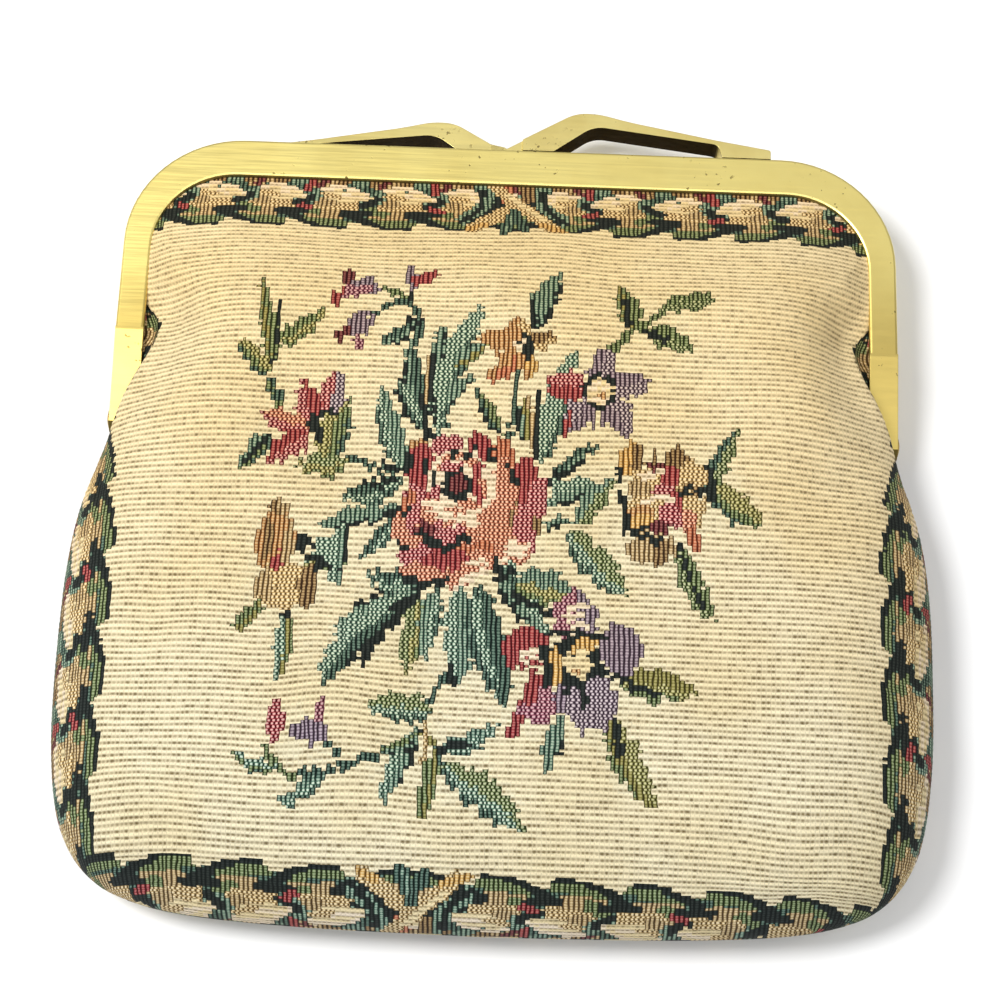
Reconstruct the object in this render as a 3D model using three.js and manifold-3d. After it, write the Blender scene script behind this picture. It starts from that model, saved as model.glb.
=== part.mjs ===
// A tapestry kiss lock purse lying on its back, closed.
// Millimetres: +X across the purse, +Y up the purse to its clasp, +Z up from the surface it lies on.
// The origin is on that surface, under the middle of the purse.

import * as THREE from "three";
import { mergeVertices } from "three/addons/utils/BufferGeometryUtils.js";
import Module from "manifold-3d";

const wasm = await Module();
wasm.setup();

// Frame: two brass channels, one for each half of the mouth
const FRAME_HALF_WIDTH = 80.5;
const BAR_BAND = 8.3;
const LEG_BAND = 5.8;
const CORNER_RADIUS = 24;
const INNER_CORNER_RADIUS = 17;
const HALF_DEPTH = 6.3;
const HALVES_GAP = 0.45;
const SHEET = 1.0;
const EDGE_ROUND = 0.5;
const CREASE_DROP = 44.5;
const EAR_DROP = 65.5;
const EAR_END_DEPTH = 3.7;

// Hinge: a tab of each half on a rivet, side by side
const PIVOT_DROP = 62;
const TAB_RADIUS = 2.5;
const TAB_CLEARANCE = 0.4;
const RIVET_RADIUS = 1.1;
const RIVET_HOLE_RADIUS = 1.4;
const RIVET_HEAD_RADIUS = 2.1;
const RIVET_HEAD = 0.5;
const RIVET_CLEARANCE = 0.3;

// Clasp: two bows whose noses cross at the middle of the bar
const BOW_SEAT_GAP = 0.3;
const BOW_RISE = 9.2;
const BOW_NOSE = -2.3;
const BOW_END = 54.5;
const BOW_BACK = 0.3;
const BOW_FRONT = 5.9;
const STAKE_WIDTH = 2.4;
const STAKE_DEPTH = 2.0;
const STAKE_REACH = 2.2;
const STAKE_CLEARANCE = 0.35;
const STAKES_ALONG = [6.2, 50];

// A bow seen from the front: a steep inner slope, a long outer slope and a window between its feet
const BOW_OUTLINE = [
  { along: BOW_NOSE, up: 0, round: 0 },
  { along: 13.0, up: BOW_RISE, round: 2.4 },
  { along: 17.8, up: BOW_RISE, round: 2.0 },
  { along: 24.5, up: 7.5, round: 2.0 },
  { along: 43.0, up: 3.9, round: 2.0 },
  { along: BOW_END, up: 2.0, round: 0.6 },
  { along: BOW_END, up: 0, round: 0 },
  { along: 44.2, up: 0, round: 0 },
  { along: 43.4, up: 2.9, round: 1.4 },
  { along: 16.9, up: 6.25, round: 2.6 },
  { along: 8.5, up: 0, round: 0 },
];

// The same bow from above: its end forks round the other bow's nose
const BOW_PLAN = [
  { along: BOW_END, depth: BOW_BACK },
  { along: 5.0, depth: BOW_BACK },
  { along: 2.0, depth: -1.9 },
  { along: BOW_NOSE, depth: -1.9 },
  { along: BOW_NOSE, depth: -0.3 },
  { along: 2.7, depth: -0.3 },
  { along: 2.7, depth: 2.3 },
  { along: BOW_NOSE, depth: 2.4 },
  { along: BOW_NOSE, depth: 5.2 },
  { along: 1.8, depth: 5.2 },
  { along: 1.9, depth: BOW_FRONT },
  { along: BOW_END, depth: BOW_FRONT },
];

// Bag: two tapestry panels
const BAG_DROP = 166;
const CLOTH = 1.8;
const TUCK = 2.9;
const CROWN_HEIGHT = 26;
const SEAM_HEIGHT = 9;
const SEAM_GAP = 0.3;
const CHANNEL_CLEARANCE = 0.4;
const BAR_SLOPE_REACH = 44;
const LEG_SLOPE_REACH = 16;
const SEAM_ROUND_REACH = 34;
const BACK_ROUND_REACH = 14;
const RINGS = 11;

// The free edge of the front panel, from where it leaves the leg's channel to the bottom of the bag
const FRONT_EDGE = [
  { below: 34, half: 77.6 },
  { below: 37, half: 76.0 },
  { below: 39.4, half: 73.6 },
  { below: 42, half: 72.1 },
  { below: 45.5, half: 71.6 },
  { below: 49, half: 72.2 },
  { below: 52.5, half: 73.7 },
  { below: 56, half: 75.6 },
  { below: 62, half: 78.2 },
  { below: 70, half: 80.6 },
  { below: 82, half: 84.4 },
  { below: 96, half: 86.2 },
  { below: 114, half: 86.5 },
  { below: 130, half: 86.0 },
  { below: 143, half: 84.2 },
  { below: 151, half: 81.4 },
  { below: 157, half: 76.8 },
  { below: 161, half: 70.0 },
  { below: 163.8, half: 58.0 },
  { below: 165.4, half: 34.0 },
  { below: 166, half: 0 },
];

// The same edge on the back panel, which stays inside the hinges until it meets the seam
const BACK_EDGE_TOP = [
  { below: 34, half: 77.6 },
  { below: 38, half: 75.6 },
  { below: 41, half: 73.6 },
  { below: 48, half: 73.0 },
  { below: 57, half: 73.0 },
  { below: 64, half: 73.3 },
  { below: 67.5, half: 74.4 },
  { below: 72, half: 78.4 },
  { below: 76.5, half: 82.0 },
];
const SEAM_FROM = 82;
const BACK_EDGE = [...BACK_EDGE_TOP, ...FRONT_EDGE.filter((row) => row.below >= SEAM_FROM)];

// Soft folds of the front panel: ridges and dents, long ways at an angle from upright
const FOLDS = [
  { across: 66, below: 34, lean: -6, length: 20, width: 5, depth: -1.3 },
  { across: 58, below: 66, lean: 38, length: 30, width: 8, depth: 1.2 },
  { across: 66, below: 78, lean: 52, length: 22, width: 6, depth: -1.0 },
  { across: 20, below: 30, lean: 12, length: 22, width: 9, depth: -0.7 },
];

const BAR_TOP = (BAG_DROP - BOW_RISE - BOW_SEAT_GAP) / 2;
const MIDDLE = HALF_DEPTH + HALVES_GAP / 2;
const FRAME_INNER_HALF = FRAME_HALF_WIDTH - LEG_BAND;

const brass = new THREE.MeshStandardMaterial({ color: 0xc9ac5a, roughness: 0.35, metalness: 1 });
const darkBrass = new THREE.MeshStandardMaterial({ color: 0xa88c48, roughness: 0.45, metalness: 1 });
const tapestry = new THREE.MeshStandardMaterial({ color: 0xe3cf9c, roughness: 0.95, metalness: 0 });

// Solids to and from geometry

function solidOf(geometry) {
  const bare = geometry.index ? geometry.toNonIndexed() : geometry.clone();
  bare.deleteAttribute("normal");
  bare.deleteAttribute("uv");
  const merged = mergeVertices(bare, 1e-4);
  const mesh = new wasm.Mesh({
    numProp: 3,
    vertProperties: merged.attributes.position.array,
    triVerts: new Uint32Array(merged.index.array),
  });
  return new wasm.Manifold(mesh);
}

function geometryOf(solid) {
  const mesh = solid.getMesh();
  const geometry = new THREE.BufferGeometry();
  geometry.setAttribute("position", new THREE.BufferAttribute(mesh.vertProperties, mesh.numProp));
  geometry.setIndex(new THREE.BufferAttribute(mesh.triVerts, 1));
  geometry.computeVertexNormals();
  return geometry;
}

function boxSolid(low, high) {
  const size = new THREE.Vector3().subVectors(high, low);
  const centre = new THREE.Vector3().addVectors(low, high).multiplyScalar(0.5);
  return solidOf(new THREE.BoxGeometry(size.x, size.y, size.z).translate(centre.x, centre.y, centre.z));
}

// A disc across the purse, about the hinge axis
function hingeDisc(radius, fromX, toX) {
  const disc = new THREE.CylinderGeometry(radius, radius, toX - fromX, 16).rotateZ(Math.PI / 2);
  return solidOf(disc.translate((fromX + toX) / 2, BAR_TOP - PIVOT_DROP, 0));
}

// An outline drawn in (Y, Z) and swept across the purse
function acrossSolid(outline, fromX, toX) {
  const sweep = new THREE.ExtrudeGeometry(outline, { depth: toX - fromX, bevelEnabled: false });
  const toWorld = new THREE.Matrix4().makeBasis(
    new THREE.Vector3(0, 1, 0),
    new THREE.Vector3(0, 0, 1),
    new THREE.Vector3(1, 0, 0),
  );
  return solidOf(sweep.applyMatrix4(toWorld).translate(fromX, 0, 0));
}

function polygon(points) {
  return new THREE.Shape(points.map(([a, b]) => new THREE.Vector2(a, b)));
}

// Frame

// The U of a frame half seen from the front, between an outer and an inner edge
function frameBand(outer, inner, legEnd) {
  const band = new THREE.Shape();
  band.moveTo(outer.half, legEnd);
  band.lineTo(outer.half, outer.top - outer.radius);
  band.absarc(outer.half - outer.radius, outer.top - outer.radius, outer.radius, 0, Math.PI / 2, false);
  band.absarc(outer.radius - outer.half, outer.top - outer.radius, outer.radius, Math.PI / 2, Math.PI, false);
  band.lineTo(-outer.half, legEnd);
  band.lineTo(-inner.half, legEnd);
  band.absarc(inner.radius - inner.half, inner.top - inner.radius, inner.radius, Math.PI, Math.PI / 2, true);
  band.absarc(inner.half - inner.radius, inner.top - inner.radius, inner.radius, Math.PI / 2, 0, true);
  band.lineTo(inner.half, legEnd);
  band.closePath();
  return band;
}

function grown(edge, by) {
  return { half: edge.half + by, top: edge.top + by, radius: edge.radius + by };
}

const OUTER_EDGE = { half: FRAME_HALF_WIDTH, top: BAR_TOP, radius: CORNER_RADIUS };
const INNER_EDGE = { half: FRAME_INNER_HALF, top: BAR_TOP - BAR_BAND, radius: INNER_CORNER_RADIUS };

// The bar, corners and legs: a channel open towards the bag
function channelSolid() {
  const legEnd = BAR_TOP - CREASE_DROP;
  const back = HALVES_GAP / 2;
  const body = new THREE.ExtrudeGeometry(frameBand(OUTER_EDGE, INNER_EDGE, legEnd), {
    depth: HALF_DEPTH - 2 * EDGE_ROUND,
    bevelThickness: EDGE_ROUND,
    bevelSize: EDGE_ROUND,
    bevelOffset: -EDGE_ROUND,
    bevelSegments: 2,
    curveSegments: 8,
  }).translate(0, 0, back + EDGE_ROUND);
  const past = 2;
  const slot = new THREE.ExtrudeGeometry(
    frameBand(grown(OUTER_EDGE, -SHEET), grown(INNER_EDGE, -past), legEnd - past),
    { depth: HALF_DEPTH - 2 * SHEET, bevelEnabled: false, curveSegments: 8 },
  ).translate(0, 0, back + SHEET);
  return solidOf(body).subtract(solidOf(slot));
}

// A leg's lower end on the right: a plate bent back from the crease, with the leg's outer wall beside it
function earSolid() {
  const back = HALVES_GAP / 2;
  const front = back + HALF_DEPTH;
  const endFront = back + EAR_END_DEPTH;
  const overlap = 0.6;
  const crease = BAR_TOP - CREASE_DROP;
  const end = BAR_TOP - EAR_DROP;
  const endRound = 1.6;
  const side = polygon([
    [crease + overlap, back],
    [crease + overlap, front],
    [crease, front],
    [end + endRound, endFront],
    [end, endFront - endRound],
    [end, back],
  ]);
  const past = 2;
  const hollow = polygon([
    [crease + past, back - past],
    [crease + past, front - SHEET],
    [crease, front - SHEET],
    [end + endRound, endFront - SHEET],
    [end + SHEET, endFront - SHEET - endRound],
    [end + SHEET, back - past],
  ]);
  const whole = acrossSolid(side, FRAME_INNER_HALF, FRAME_HALF_WIDTH);
  return whole.subtract(acrossSolid(hollow, FRAME_INNER_HALF - past, FRAME_HALF_WIDTH - SHEET));
}

const WALL_INSIDE = FRAME_HALF_WIDTH - SHEET;
const INNER_TAB_FRONT = WALL_INSIDE - TAB_CLEARANCE;
const INNER_TAB_BACK = INNER_TAB_FRONT - SHEET;

// The right hinge of a half: its tab is the leg's own wall, outside the other half's tab
function outerTabEar() {
  const hole = hingeDisc(RIVET_HOLE_RADIUS, INNER_TAB_BACK, FRAME_HALF_WIDTH + 1);
  return earSolid().add(hingeDisc(TAB_RADIUS, WALL_INSIDE, FRAME_HALF_WIDTH)).subtract(hole);
}

// The left hinge of a half, drawn on the right: its tab stands inside and its wall clears the other half's
function innerTabEar() {
  const pivot = BAR_TOP - PIVOT_DROP;
  const neckHalf = 1.8;
  const neck = boxSolid(
    new THREE.Vector3(INNER_TAB_BACK, pivot - neckHalf, 0),
    new THREE.Vector3(INNER_TAB_FRONT, pivot + neckHalf, HALVES_GAP / 2 + EAR_END_DEPTH - SHEET / 2),
  );
  const clearance = hingeDisc(TAB_RADIUS + TAB_CLEARANCE, INNER_TAB_FRONT + SHEET / 10, FRAME_HALF_WIDTH + 1);
  const hole = hingeDisc(RIVET_HOLE_RADIUS, INNER_TAB_BACK - 1, INNER_TAB_FRONT + 1);
  return earSolid()
    .subtract(clearance)
    .add(hingeDisc(TAB_RADIUS, INNER_TAB_BACK, INNER_TAB_FRONT))
    .add(neck)
    .subtract(hole);
}

function stakeSlot(along) {
  const halfWidth = STAKE_WIDTH / 2 + STAKE_CLEARANCE;
  const halfDepth = STAKE_DEPTH / 2 + STAKE_CLEARANCE;
  const middle = (BOW_BACK + BOW_FRONT) / 2;
  return boxSolid(
    new THREE.Vector3(along - halfWidth, BAR_TOP - 2 * SHEET, middle - halfDepth),
    new THREE.Vector3(along + halfWidth, BAR_TOP + SHEET, middle + halfDepth),
  );
}

function frameHalf(name) {
  let solid = channelSolid().add(outerTabEar()).add(innerTabEar().mirror([1, 0, 0]));
  for (const along of STAKES_ALONG) {
    solid = solid.subtract(stakeSlot(along));
  }
  const half = new THREE.Mesh(geometryOf(solid), brass);
  half.name = name;
  return half;
}

// Clasp

// An outline through corners, each cut short by its own length on both sides and rounded
function roundedOutline(corners) {
  const places = corners.map((corner) => new THREE.Vector2(corner.along, corner.up));
  const outline = new THREE.Shape();
  corners.forEach((corner, j) => {
    const before = places[(j + places.length - 1) % places.length];
    const after = places[(j + 1) % places.length];
    const arrive = before.clone().sub(places[j]).setLength(corner.round).add(places[j]);
    const leave = after.clone().sub(places[j]).setLength(corner.round).add(places[j]);
    if (j === 0) {
      outline.moveTo(arrive.x, arrive.y);
    } else {
      outline.lineTo(arrive.x, arrive.y);
    }
    if (corner.round > 0) {
      outline.quadraticCurveTo(places[j].x, places[j].y, leave.x, leave.y);
    }
  });
  outline.closePath();
  return outline;
}

function claspBow(name) {
  const deep = 2 * HALF_DEPTH;
  const through = { depth: 2 * deep, bevelEnabled: false, curveSegments: 6 };
  const seen = new THREE.ExtrudeGeometry(roundedOutline(BOW_OUTLINE), through);
  const above = polygon(BOW_PLAN.map((corner) => [corner.along, corner.depth]));
  const plan = new THREE.ExtrudeGeometry(above, through);
  let solid = solidOf(seen.translate(0, BAR_TOP + BOW_SEAT_GAP, -deep));
  solid = solid.intersect(solidOf(plan.rotateX(Math.PI / 2).translate(0, BAR_TOP + deep, 0)));
  const middle = (BOW_BACK + BOW_FRONT) / 2;
  for (const along of STAKES_ALONG) {
    const size = new THREE.Vector3(STAKE_WIDTH, STAKE_REACH + 2 * BOW_SEAT_GAP, STAKE_DEPTH);
    const low = new THREE.Vector3(along - STAKE_WIDTH / 2, BAR_TOP - STAKE_REACH, middle - STAKE_DEPTH / 2);
    solid = solid.add(boxSolid(low, low.clone().add(size)));
  }
  const bow = new THREE.Mesh(geometryOf(solid), brass);
  bow.name = name;
  return bow;
}

// Hinge rivets

function hingeRivet(name, side) {
  const innerHead = INNER_TAB_BACK - RIVET_CLEARANCE;
  const outerHead = FRAME_HALF_WIDTH + RIVET_CLEARANCE;
  const dome = 0.3;
  const profile = [
    [0, innerHead - RIVET_HEAD],
    [RIVET_HEAD_RADIUS, innerHead - RIVET_HEAD],
    [RIVET_HEAD_RADIUS, innerHead],
    [RIVET_RADIUS, innerHead],
    [RIVET_RADIUS, outerHead],
    [RIVET_HEAD_RADIUS, outerHead],
    [RIVET_HEAD_RADIUS, outerHead + RIVET_HEAD - dome],
    [RIVET_HEAD_RADIUS / 2, outerHead + RIVET_HEAD],
    [0, outerHead + RIVET_HEAD],
  ].map(([radius, along]) => new THREE.Vector2(radius, along));
  const rivet = new THREE.Mesh(new THREE.LatheGeometry(profile, 12), darkBrass);
  rivet.rotation.z = (-Math.PI / 2) * side;
  rivet.position.y = BAR_TOP - PIVOT_DROP;
  rivet.name = name;
  return rivet;
}

// Bag

function smooth(from, to, value) {
  return THREE.MathUtils.smoothstep(value, from, to);
}

// The right half of a panel's edge in plan, from the middle of the bar round to the middle of the bottom
function edgePoints(freeEdge) {
  const half = FRAME_INNER_HALF + TUCK;
  const top = BAR_TOP - BAR_BAND + TUCK;
  const radius = INNER_CORNER_RADIUS + TUCK;
  const tucked = new THREE.Path();
  tucked.moveTo(0, top);
  tucked.lineTo(half - radius, top);
  tucked.absarc(half - radius, top - radius, radius, Math.PI / 2, 0, true);
  const free = new THREE.SplineCurve(freeEdge.map((row) => new THREE.Vector2(row.half, BAR_TOP - row.below)));
  const barSteps = 4;
  const cornerSteps = 6;
  const creaseSteps = 7;
  const seamSteps = 25;
  const creaseShare = 0.13;
  const points = [
    ...tucked.curves[0].getPoints(barSteps),
    ...tucked.curves[1].getPoints(cornerSteps).slice(1),
  ];
  for (let step = 0; step <= creaseSteps + seamSteps; step++) {
    const alongCrease = Math.min(step / creaseSteps, 1);
    const alongSeam = Math.max(step - creaseSteps, 0) / seamSteps;
    points.push(free.getPointAt(THREE.MathUtils.lerp(creaseShare * alongCrease, 1, alongSeam)));
  }
  points[points.length - 1].x = 0;
  return points;
}

// The whole edge, anticlockwise seen from the front, starting at the middle of the bar
function wholeEdge(freeEdge) {
  const right = edgePoints(freeEdge);
  const left = right.slice(1, -1).map((p) => new THREE.Vector2(-p.x, p.y));
  return [...left.concat(right.slice(-1)), ...right.slice(1, -1).reverse(), right[0]];
}

// How far a stretch of edge is sewn (1) and not held by the frame (0)
function sewnShare(y) {
  return smooth(46, 74, BAR_TOP - y);
}

// Height of the front panel's outer edge: in the channel, over the hinge ear, then at the seam
function frontEdgeHeight(y) {
  const below = BAR_TOP - y;
  const frontFace = MIDDLE + HALVES_GAP / 2 + HALF_DEPTH;
  const tucked = frontFace - SHEET - CHANNEL_CLEARANCE;
  const overEar = frontFace + CLOTH + 2 * CHANNEL_CLEARANCE;
  const rise = THREE.MathUtils.lerp(tucked, overEar, smooth(39, 48, below));
  return THREE.MathUtils.lerp(rise, SEAM_HEIGHT + SEAM_GAP / 2, smooth(52, 78, below));
}

function backEdgeHeight(y) {
  const tucked = SHEET + CHANNEL_CLEARANCE;
  return THREE.MathUtils.lerp(tucked, SEAM_HEIGHT - SEAM_GAP / 2, smooth(58, 80, BAR_TOP - y));
}

// Rise of a panel from its edge, 0 to 1, a given distance in: a slope from the frame, a round from the seam
function riseShare(inward, sewn, slopeReach, roundReach) {
  const sloped = THREE.MathUtils.clamp((inward - TUCK - 0.5) / slopeReach, 0, 1);
  const rounded = THREE.MathUtils.clamp(inward / roundReach, 0, 1);
  const fromFrame = Math.sin((sloped * Math.PI) / 2);
  const fromSeam = Math.sqrt(1 - (1 - rounded) ** 2.6);
  return THREE.MathUtils.lerp(fromFrame, fromSeam, sewn);
}

// The front panel rises slowly from the bar and rolls up steeply from the legs
function frontSlopeReach(y) {
  return THREE.MathUtils.lerp(BAR_SLOPE_REACH, LEG_SLOPE_REACH, smooth(9, 26, BAR_TOP - y));
}

function foldHeight(x, y) {
  let height = 0;
  for (const fold of FOLDS) {
    for (const side of [-1, 1]) {
      const dx = side * x - fold.across;
      const dy = BAR_TOP - fold.below - y;
      const lean = THREE.MathUtils.degToRad(fold.lean);
      const along = dy * Math.cos(lean) - dx * Math.sin(lean);
      const across = dx * Math.cos(lean) + dy * Math.sin(lean);
      height += fold.depth * Math.exp(-((along / fold.length) ** 2) - (across / fold.width) ** 2);
    }
  }
  return height;
}

// The front panel hangs between its edge and its crown: at each place the nearest edge holds it lowest
function frontSurface(edge) {
  return (x, y) => {
    let height = CROWN_HEIGHT;
    let held = 1;
    for (const point of edge) {
      const low = frontEdgeHeight(point.y);
      const inward = Math.hypot(x - point.x, y - point.y);
      const share = riseShare(inward, sewnShare(point.y), frontSlopeReach(point.y), SEAM_ROUND_REACH);
      height = Math.min(height, low + (CROWN_HEIGHT - low) * share);
      held = Math.min(held, share);
    }
    return height + foldHeight(x, y) * held;
  };
}

// The back panel lies flat and turns up to its edge
function backSurface(edge) {
  return (x, y) => {
    let height = 0;
    for (const point of edge) {
      const inward = Math.hypot(x - point.x, y - point.y);
      const share = riseShare(inward, sewnShare(point.y), BACK_ROUND_REACH, BACK_ROUND_REACH);
      height = Math.max(height, backEdgeHeight(point.y) * (1 - share));
    }
    return height;
  };
}

// Extra points along an edge, close enough together to measure distances from
function finely(edge) {
  const spacing = 1.5;
  return edge.flatMap((point, j) => {
    const next = edge[(j + 1) % edge.length];
    const steps = Math.ceil(point.distanceTo(next) / spacing);
    return Array.from({ length: steps }, (_, k) => new THREE.Vector2().lerpVectors(point, next, k / steps));
  });
}

// Rings of points on a panel's outer face, from its edge in to its middle
function panelRings(edge, surface) {
  const hub = new THREE.Vector2(0, BAR_TOP - BAG_DROP * 0.55);
  const height = surface(finely(edge));
  const rings = [];
  for (let ring = 0; ring < RINGS; ring++) {
    const inShare = (ring / RINGS) ** 1.9;
    rings.push(
      edge.map((point) => {
        const place = new THREE.Vector2().lerpVectors(point, hub, inShare);
        return new THREE.Vector3(place.x, place.y, height(place.x, place.y));
      }),
    );
  }
  const centre = new THREE.Vector3(hub.x, hub.y, height(hub.x, hub.y));
  return { rings, centre };
}

// The inner face: each ring moved through the cloth, square to it, and level at the seam
function innerRings(rings, inwardSign) {
  const count = rings[0].length;
  return rings.map((ring, k) =>
    ring.map((point, j) => {
      const along = new THREE.Vector3().subVectors(ring[(j + 1) % count], ring[(j + count - 1) % count]);
      const inner = rings[Math.min(k + 1, rings.length - 1)][j];
      const outer = rings[Math.max(k - 1, 0)][j];
      const normal = new THREE.Vector3().subVectors(inner, outer).cross(along).normalize();
      if (k === 0) {
        normal.z *= 1 - sewnShare(point.y);
        normal.normalize();
      }
      return point.clone().addScaledVector(normal, CLOTH * inwardSign);
    }),
  );
}

// A closed wall between an outer and an inner face that share their edge
function wallGeometry(outer, inner, flip) {
  const count = outer.rings[0].length;
  const points = [...outer.rings.flat(), outer.centre, ...inner.rings.flat(), inner.centre];
  const faceSize = RINGS * count + 1;
  const triangles = [];
  const add = (a, b, c) => triangles.push(...(flip ? [a, c, b] : [a, b, c]));
  const quad = (a, b, c, d) => {
    add(a, b, c);
    add(a, c, d);
  };
  for (let j = 0; j < count; j++) {
    const next = (j + 1) % count;
    for (let k = 0; k < RINGS - 1; k++) {
      const row = k * count;
      const rowIn = row + count;
      quad(row + j, row + next, rowIn + next, rowIn + j);
      quad(faceSize + row + j, faceSize + rowIn + j, faceSize + rowIn + next, faceSize + row + next);
    }
    const last = (RINGS - 1) * count;
    add(last + j, last + next, faceSize - 1);
    add(faceSize + last + next, faceSize + last + j, 2 * faceSize - 1);
    quad(faceSize + j, faceSize + next, next, j);
  }
  const geometry = new THREE.BufferGeometry();
  geometry.setAttribute("position", new THREE.Float32BufferAttribute(points.flatMap((p) => p.toArray()), 3));
  geometry.setIndex(triangles);
  geometry.computeVertexNormals();
  return geometry;
}

function panel(name, freeEdge, surface, facesUp) {
  const outer = panelRings(wholeEdge(freeEdge), surface);
  const inwardSign = facesUp ? 1 : -1;
  const through = facesUp ? -CLOTH : CLOTH;
  const inner = {
    rings: innerRings(outer.rings, inwardSign),
    centre: outer.centre.clone().add(new THREE.Vector3(0, 0, through)),
  };
  const made = new THREE.Mesh(wallGeometry(outer, inner, !facesUp), tapestry);
  made.name = name;
  return made;
}

// Assembly

function clasped(frameName, bowName) {
  const half = new THREE.Group();
  half.add(frameHalf(frameName), claspBow(bowName));
  return half;
}

const hardware = new THREE.Group();
hardware.position.z = MIDDLE;
const frontHalf = clasped("front_frame", "front_bow");
const backHalf = clasped("back_frame", "back_bow");
backHalf.rotation.y = Math.PI;
hardware.add(frontHalf, backHalf, hingeRivet("right_hinge_rivet", 1), hingeRivet("left_hinge_rivet", -1));

const purse = new THREE.Group();
purse.add(
  hardware,
  panel("front_panel", FRONT_EDGE, frontSurface, true),
  panel("back_panel", BACK_EDGE, backSurface, false),
);

export default purse;
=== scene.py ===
"""Looks of a tapestry kiss lock purse lying on its back, closed.

Sizes are millimetres in the part's own frame: +X across the purse, +Y up it to the clasp, +Z up from the
surface it lies on. A place on the cloth is (U, V), millimetres of flat cloth: U from its middle, V down from
the frame's bar.
"""

import bpy
import numpy as np
from mathutils import Matrix, Vector


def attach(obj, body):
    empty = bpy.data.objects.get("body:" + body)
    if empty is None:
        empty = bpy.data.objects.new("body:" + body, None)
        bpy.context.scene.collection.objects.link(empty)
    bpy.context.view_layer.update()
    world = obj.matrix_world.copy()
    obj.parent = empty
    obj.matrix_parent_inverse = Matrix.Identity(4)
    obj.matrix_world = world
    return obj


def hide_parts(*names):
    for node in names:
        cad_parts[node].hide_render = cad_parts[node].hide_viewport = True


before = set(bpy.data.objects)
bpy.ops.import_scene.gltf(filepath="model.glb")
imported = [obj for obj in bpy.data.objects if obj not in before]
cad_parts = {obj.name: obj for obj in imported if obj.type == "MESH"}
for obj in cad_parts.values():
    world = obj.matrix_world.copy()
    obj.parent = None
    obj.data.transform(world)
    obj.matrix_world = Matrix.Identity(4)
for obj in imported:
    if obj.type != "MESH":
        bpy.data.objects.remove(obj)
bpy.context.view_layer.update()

MM = 0.001
TINY = 1e-9

# Frame and bag, as built
BAR_TOP = 78.25
BAR_BAND = 8.3
FRAME_INNER_HALF = 74.7
INNER_CORNER_RADIUS = 17.0
FRAME_FRONT = 13.05
CHANNEL_SHEET = 1.0
CHANNEL_CLEARANCE = 0.4
BAG_DROP = 166.0
CLOTH = 1.8
TUCK = 2.9
CROWN_HEIGHT = 26.0
SEAM_HEIGHT = 9.0
SEAM_GAP = 0.3
BAR_SLOPE_REACH = 44.0
LEG_SLOPE_REACH = 16.0
SEAM_ROUND_REACH = 34.0
SEAM_ROUND_POWER = 2.6
BACK_ROUND_REACH = 14.0
LEVEL_LIP = 0.5
CORNER_STEPS = 24
CURVE_STEPS = 10
EDGE_STEP = 0.5

# Where a panel's edge changes, from and to, as distances below the top of the bar
SLOPE_STEEPENS = (9, 26)
FRONT_OVER_EAR = (39, 48)
LEAVES_FRAME = (46, 74)
FRONT_TO_SEAM = (52, 78)
BACK_TO_SEAM = (58, 80)

# Weave: one chart cell is a warp column wide and half a weft rib high
WARP_PITCH = 0.91
WEFT_PITCH = 0.6
COLUMNS_EACH_SIDE = 106
ROWS_ABOVE_BAR = 6
ROWS_BELOW_BAR = 284
RIB_RELIEF = 0.13
PUFF = 0.28

# Threads of worn cloth: how far they drift and wave, and how far from the edge they start to
WARP_DRIFT = 0.1
WEFT_DRIFT = 0.05
DRIFT_KEPT = 0.8
DRIFT_NEW = 0.6
WAVES = 1.5
DRIFT_FADE = 9.0

# Lumps and hollows of the filled front, and the smoothing of its folds
LUMPS = 46
LUMP_U = (-80, 80)
LUMP_V = (8, 155)
LUMP_LENGTH = (9, 26)
LUMP_WIDTH = (5, 11)
LUMP_DEPTH = 0.45
LUMP_FADE = 12.0
RIB_FADE = 1.5
SETTLE_ROUNDS = 60
SETTLE_SHARE = 0.7

# Seeds of what is drawn at random
CHART_SEED = 11
LUMP_SEED = 5
WARP_SEED, WARP_WAVE_SEED = 3, 8
WEFT_SEED, WEFT_WAVE_SEED = 4, 9

# Cloth past each edge: a hem at the seams, and the wall of the pocket at the crease
HEM = 2.2
HEM_STEPS = 4
POCKET = 6.0
POCKET_HALF = 76.2
POCKET_HEIGHT = 10.9
POCKET_OPENS = (37, 39)
POCKET_CLOSES = (52, 54.5)

# Rows of the cloth bend to follow the seam at the foot, as far as this from the middle and above the seam
FOOT_HALF = 62.0
FOOT_BEND = (2.0, 12.0)

# Samples down the middle of a panel and across half a row, and the least height of the row at the seam
DOWN_SAMPLES = 900
ACROSS_SAMPLES = 150
LAST_ROW = 0.1


def table(columns, rows):
    """Rows of plain values as dicts with named columns."""
    names = columns.split()
    return [dict(zip(names, row)) for row in rows]


# The free edge of each panel, from where it leaves the leg's channel to the bottom of the bag
EDGE_COLUMNS = "below half"
SEAM_EDGE = [
    (82, 84.4), (96, 86.2), (114, 86.5), (130, 86.0), (143, 84.2), (151, 81.4),
    (157, 76.8), (161, 70.0), (163.8, 58.0), (165.4, 34.0), (166, 0),
]
FRONT_EDGE = table(EDGE_COLUMNS, [
    (34, 77.6), (37, 76.0), (39.4, 73.6), (42, 72.1), (45.5, 71.6), (49, 72.2), (52.5, 73.7), (56, 75.6),
    (62, 78.2), (70, 80.6), *SEAM_EDGE,
])
BACK_EDGE = table(EDGE_COLUMNS, [
    (34, 77.6), (38, 75.6), (41, 73.6), (48, 73.0), (57, 73.0), (64, 73.3), (67.5, 74.4), (72, 78.4),
    (76.5, 82.0), *SEAM_EDGE,
])

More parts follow.
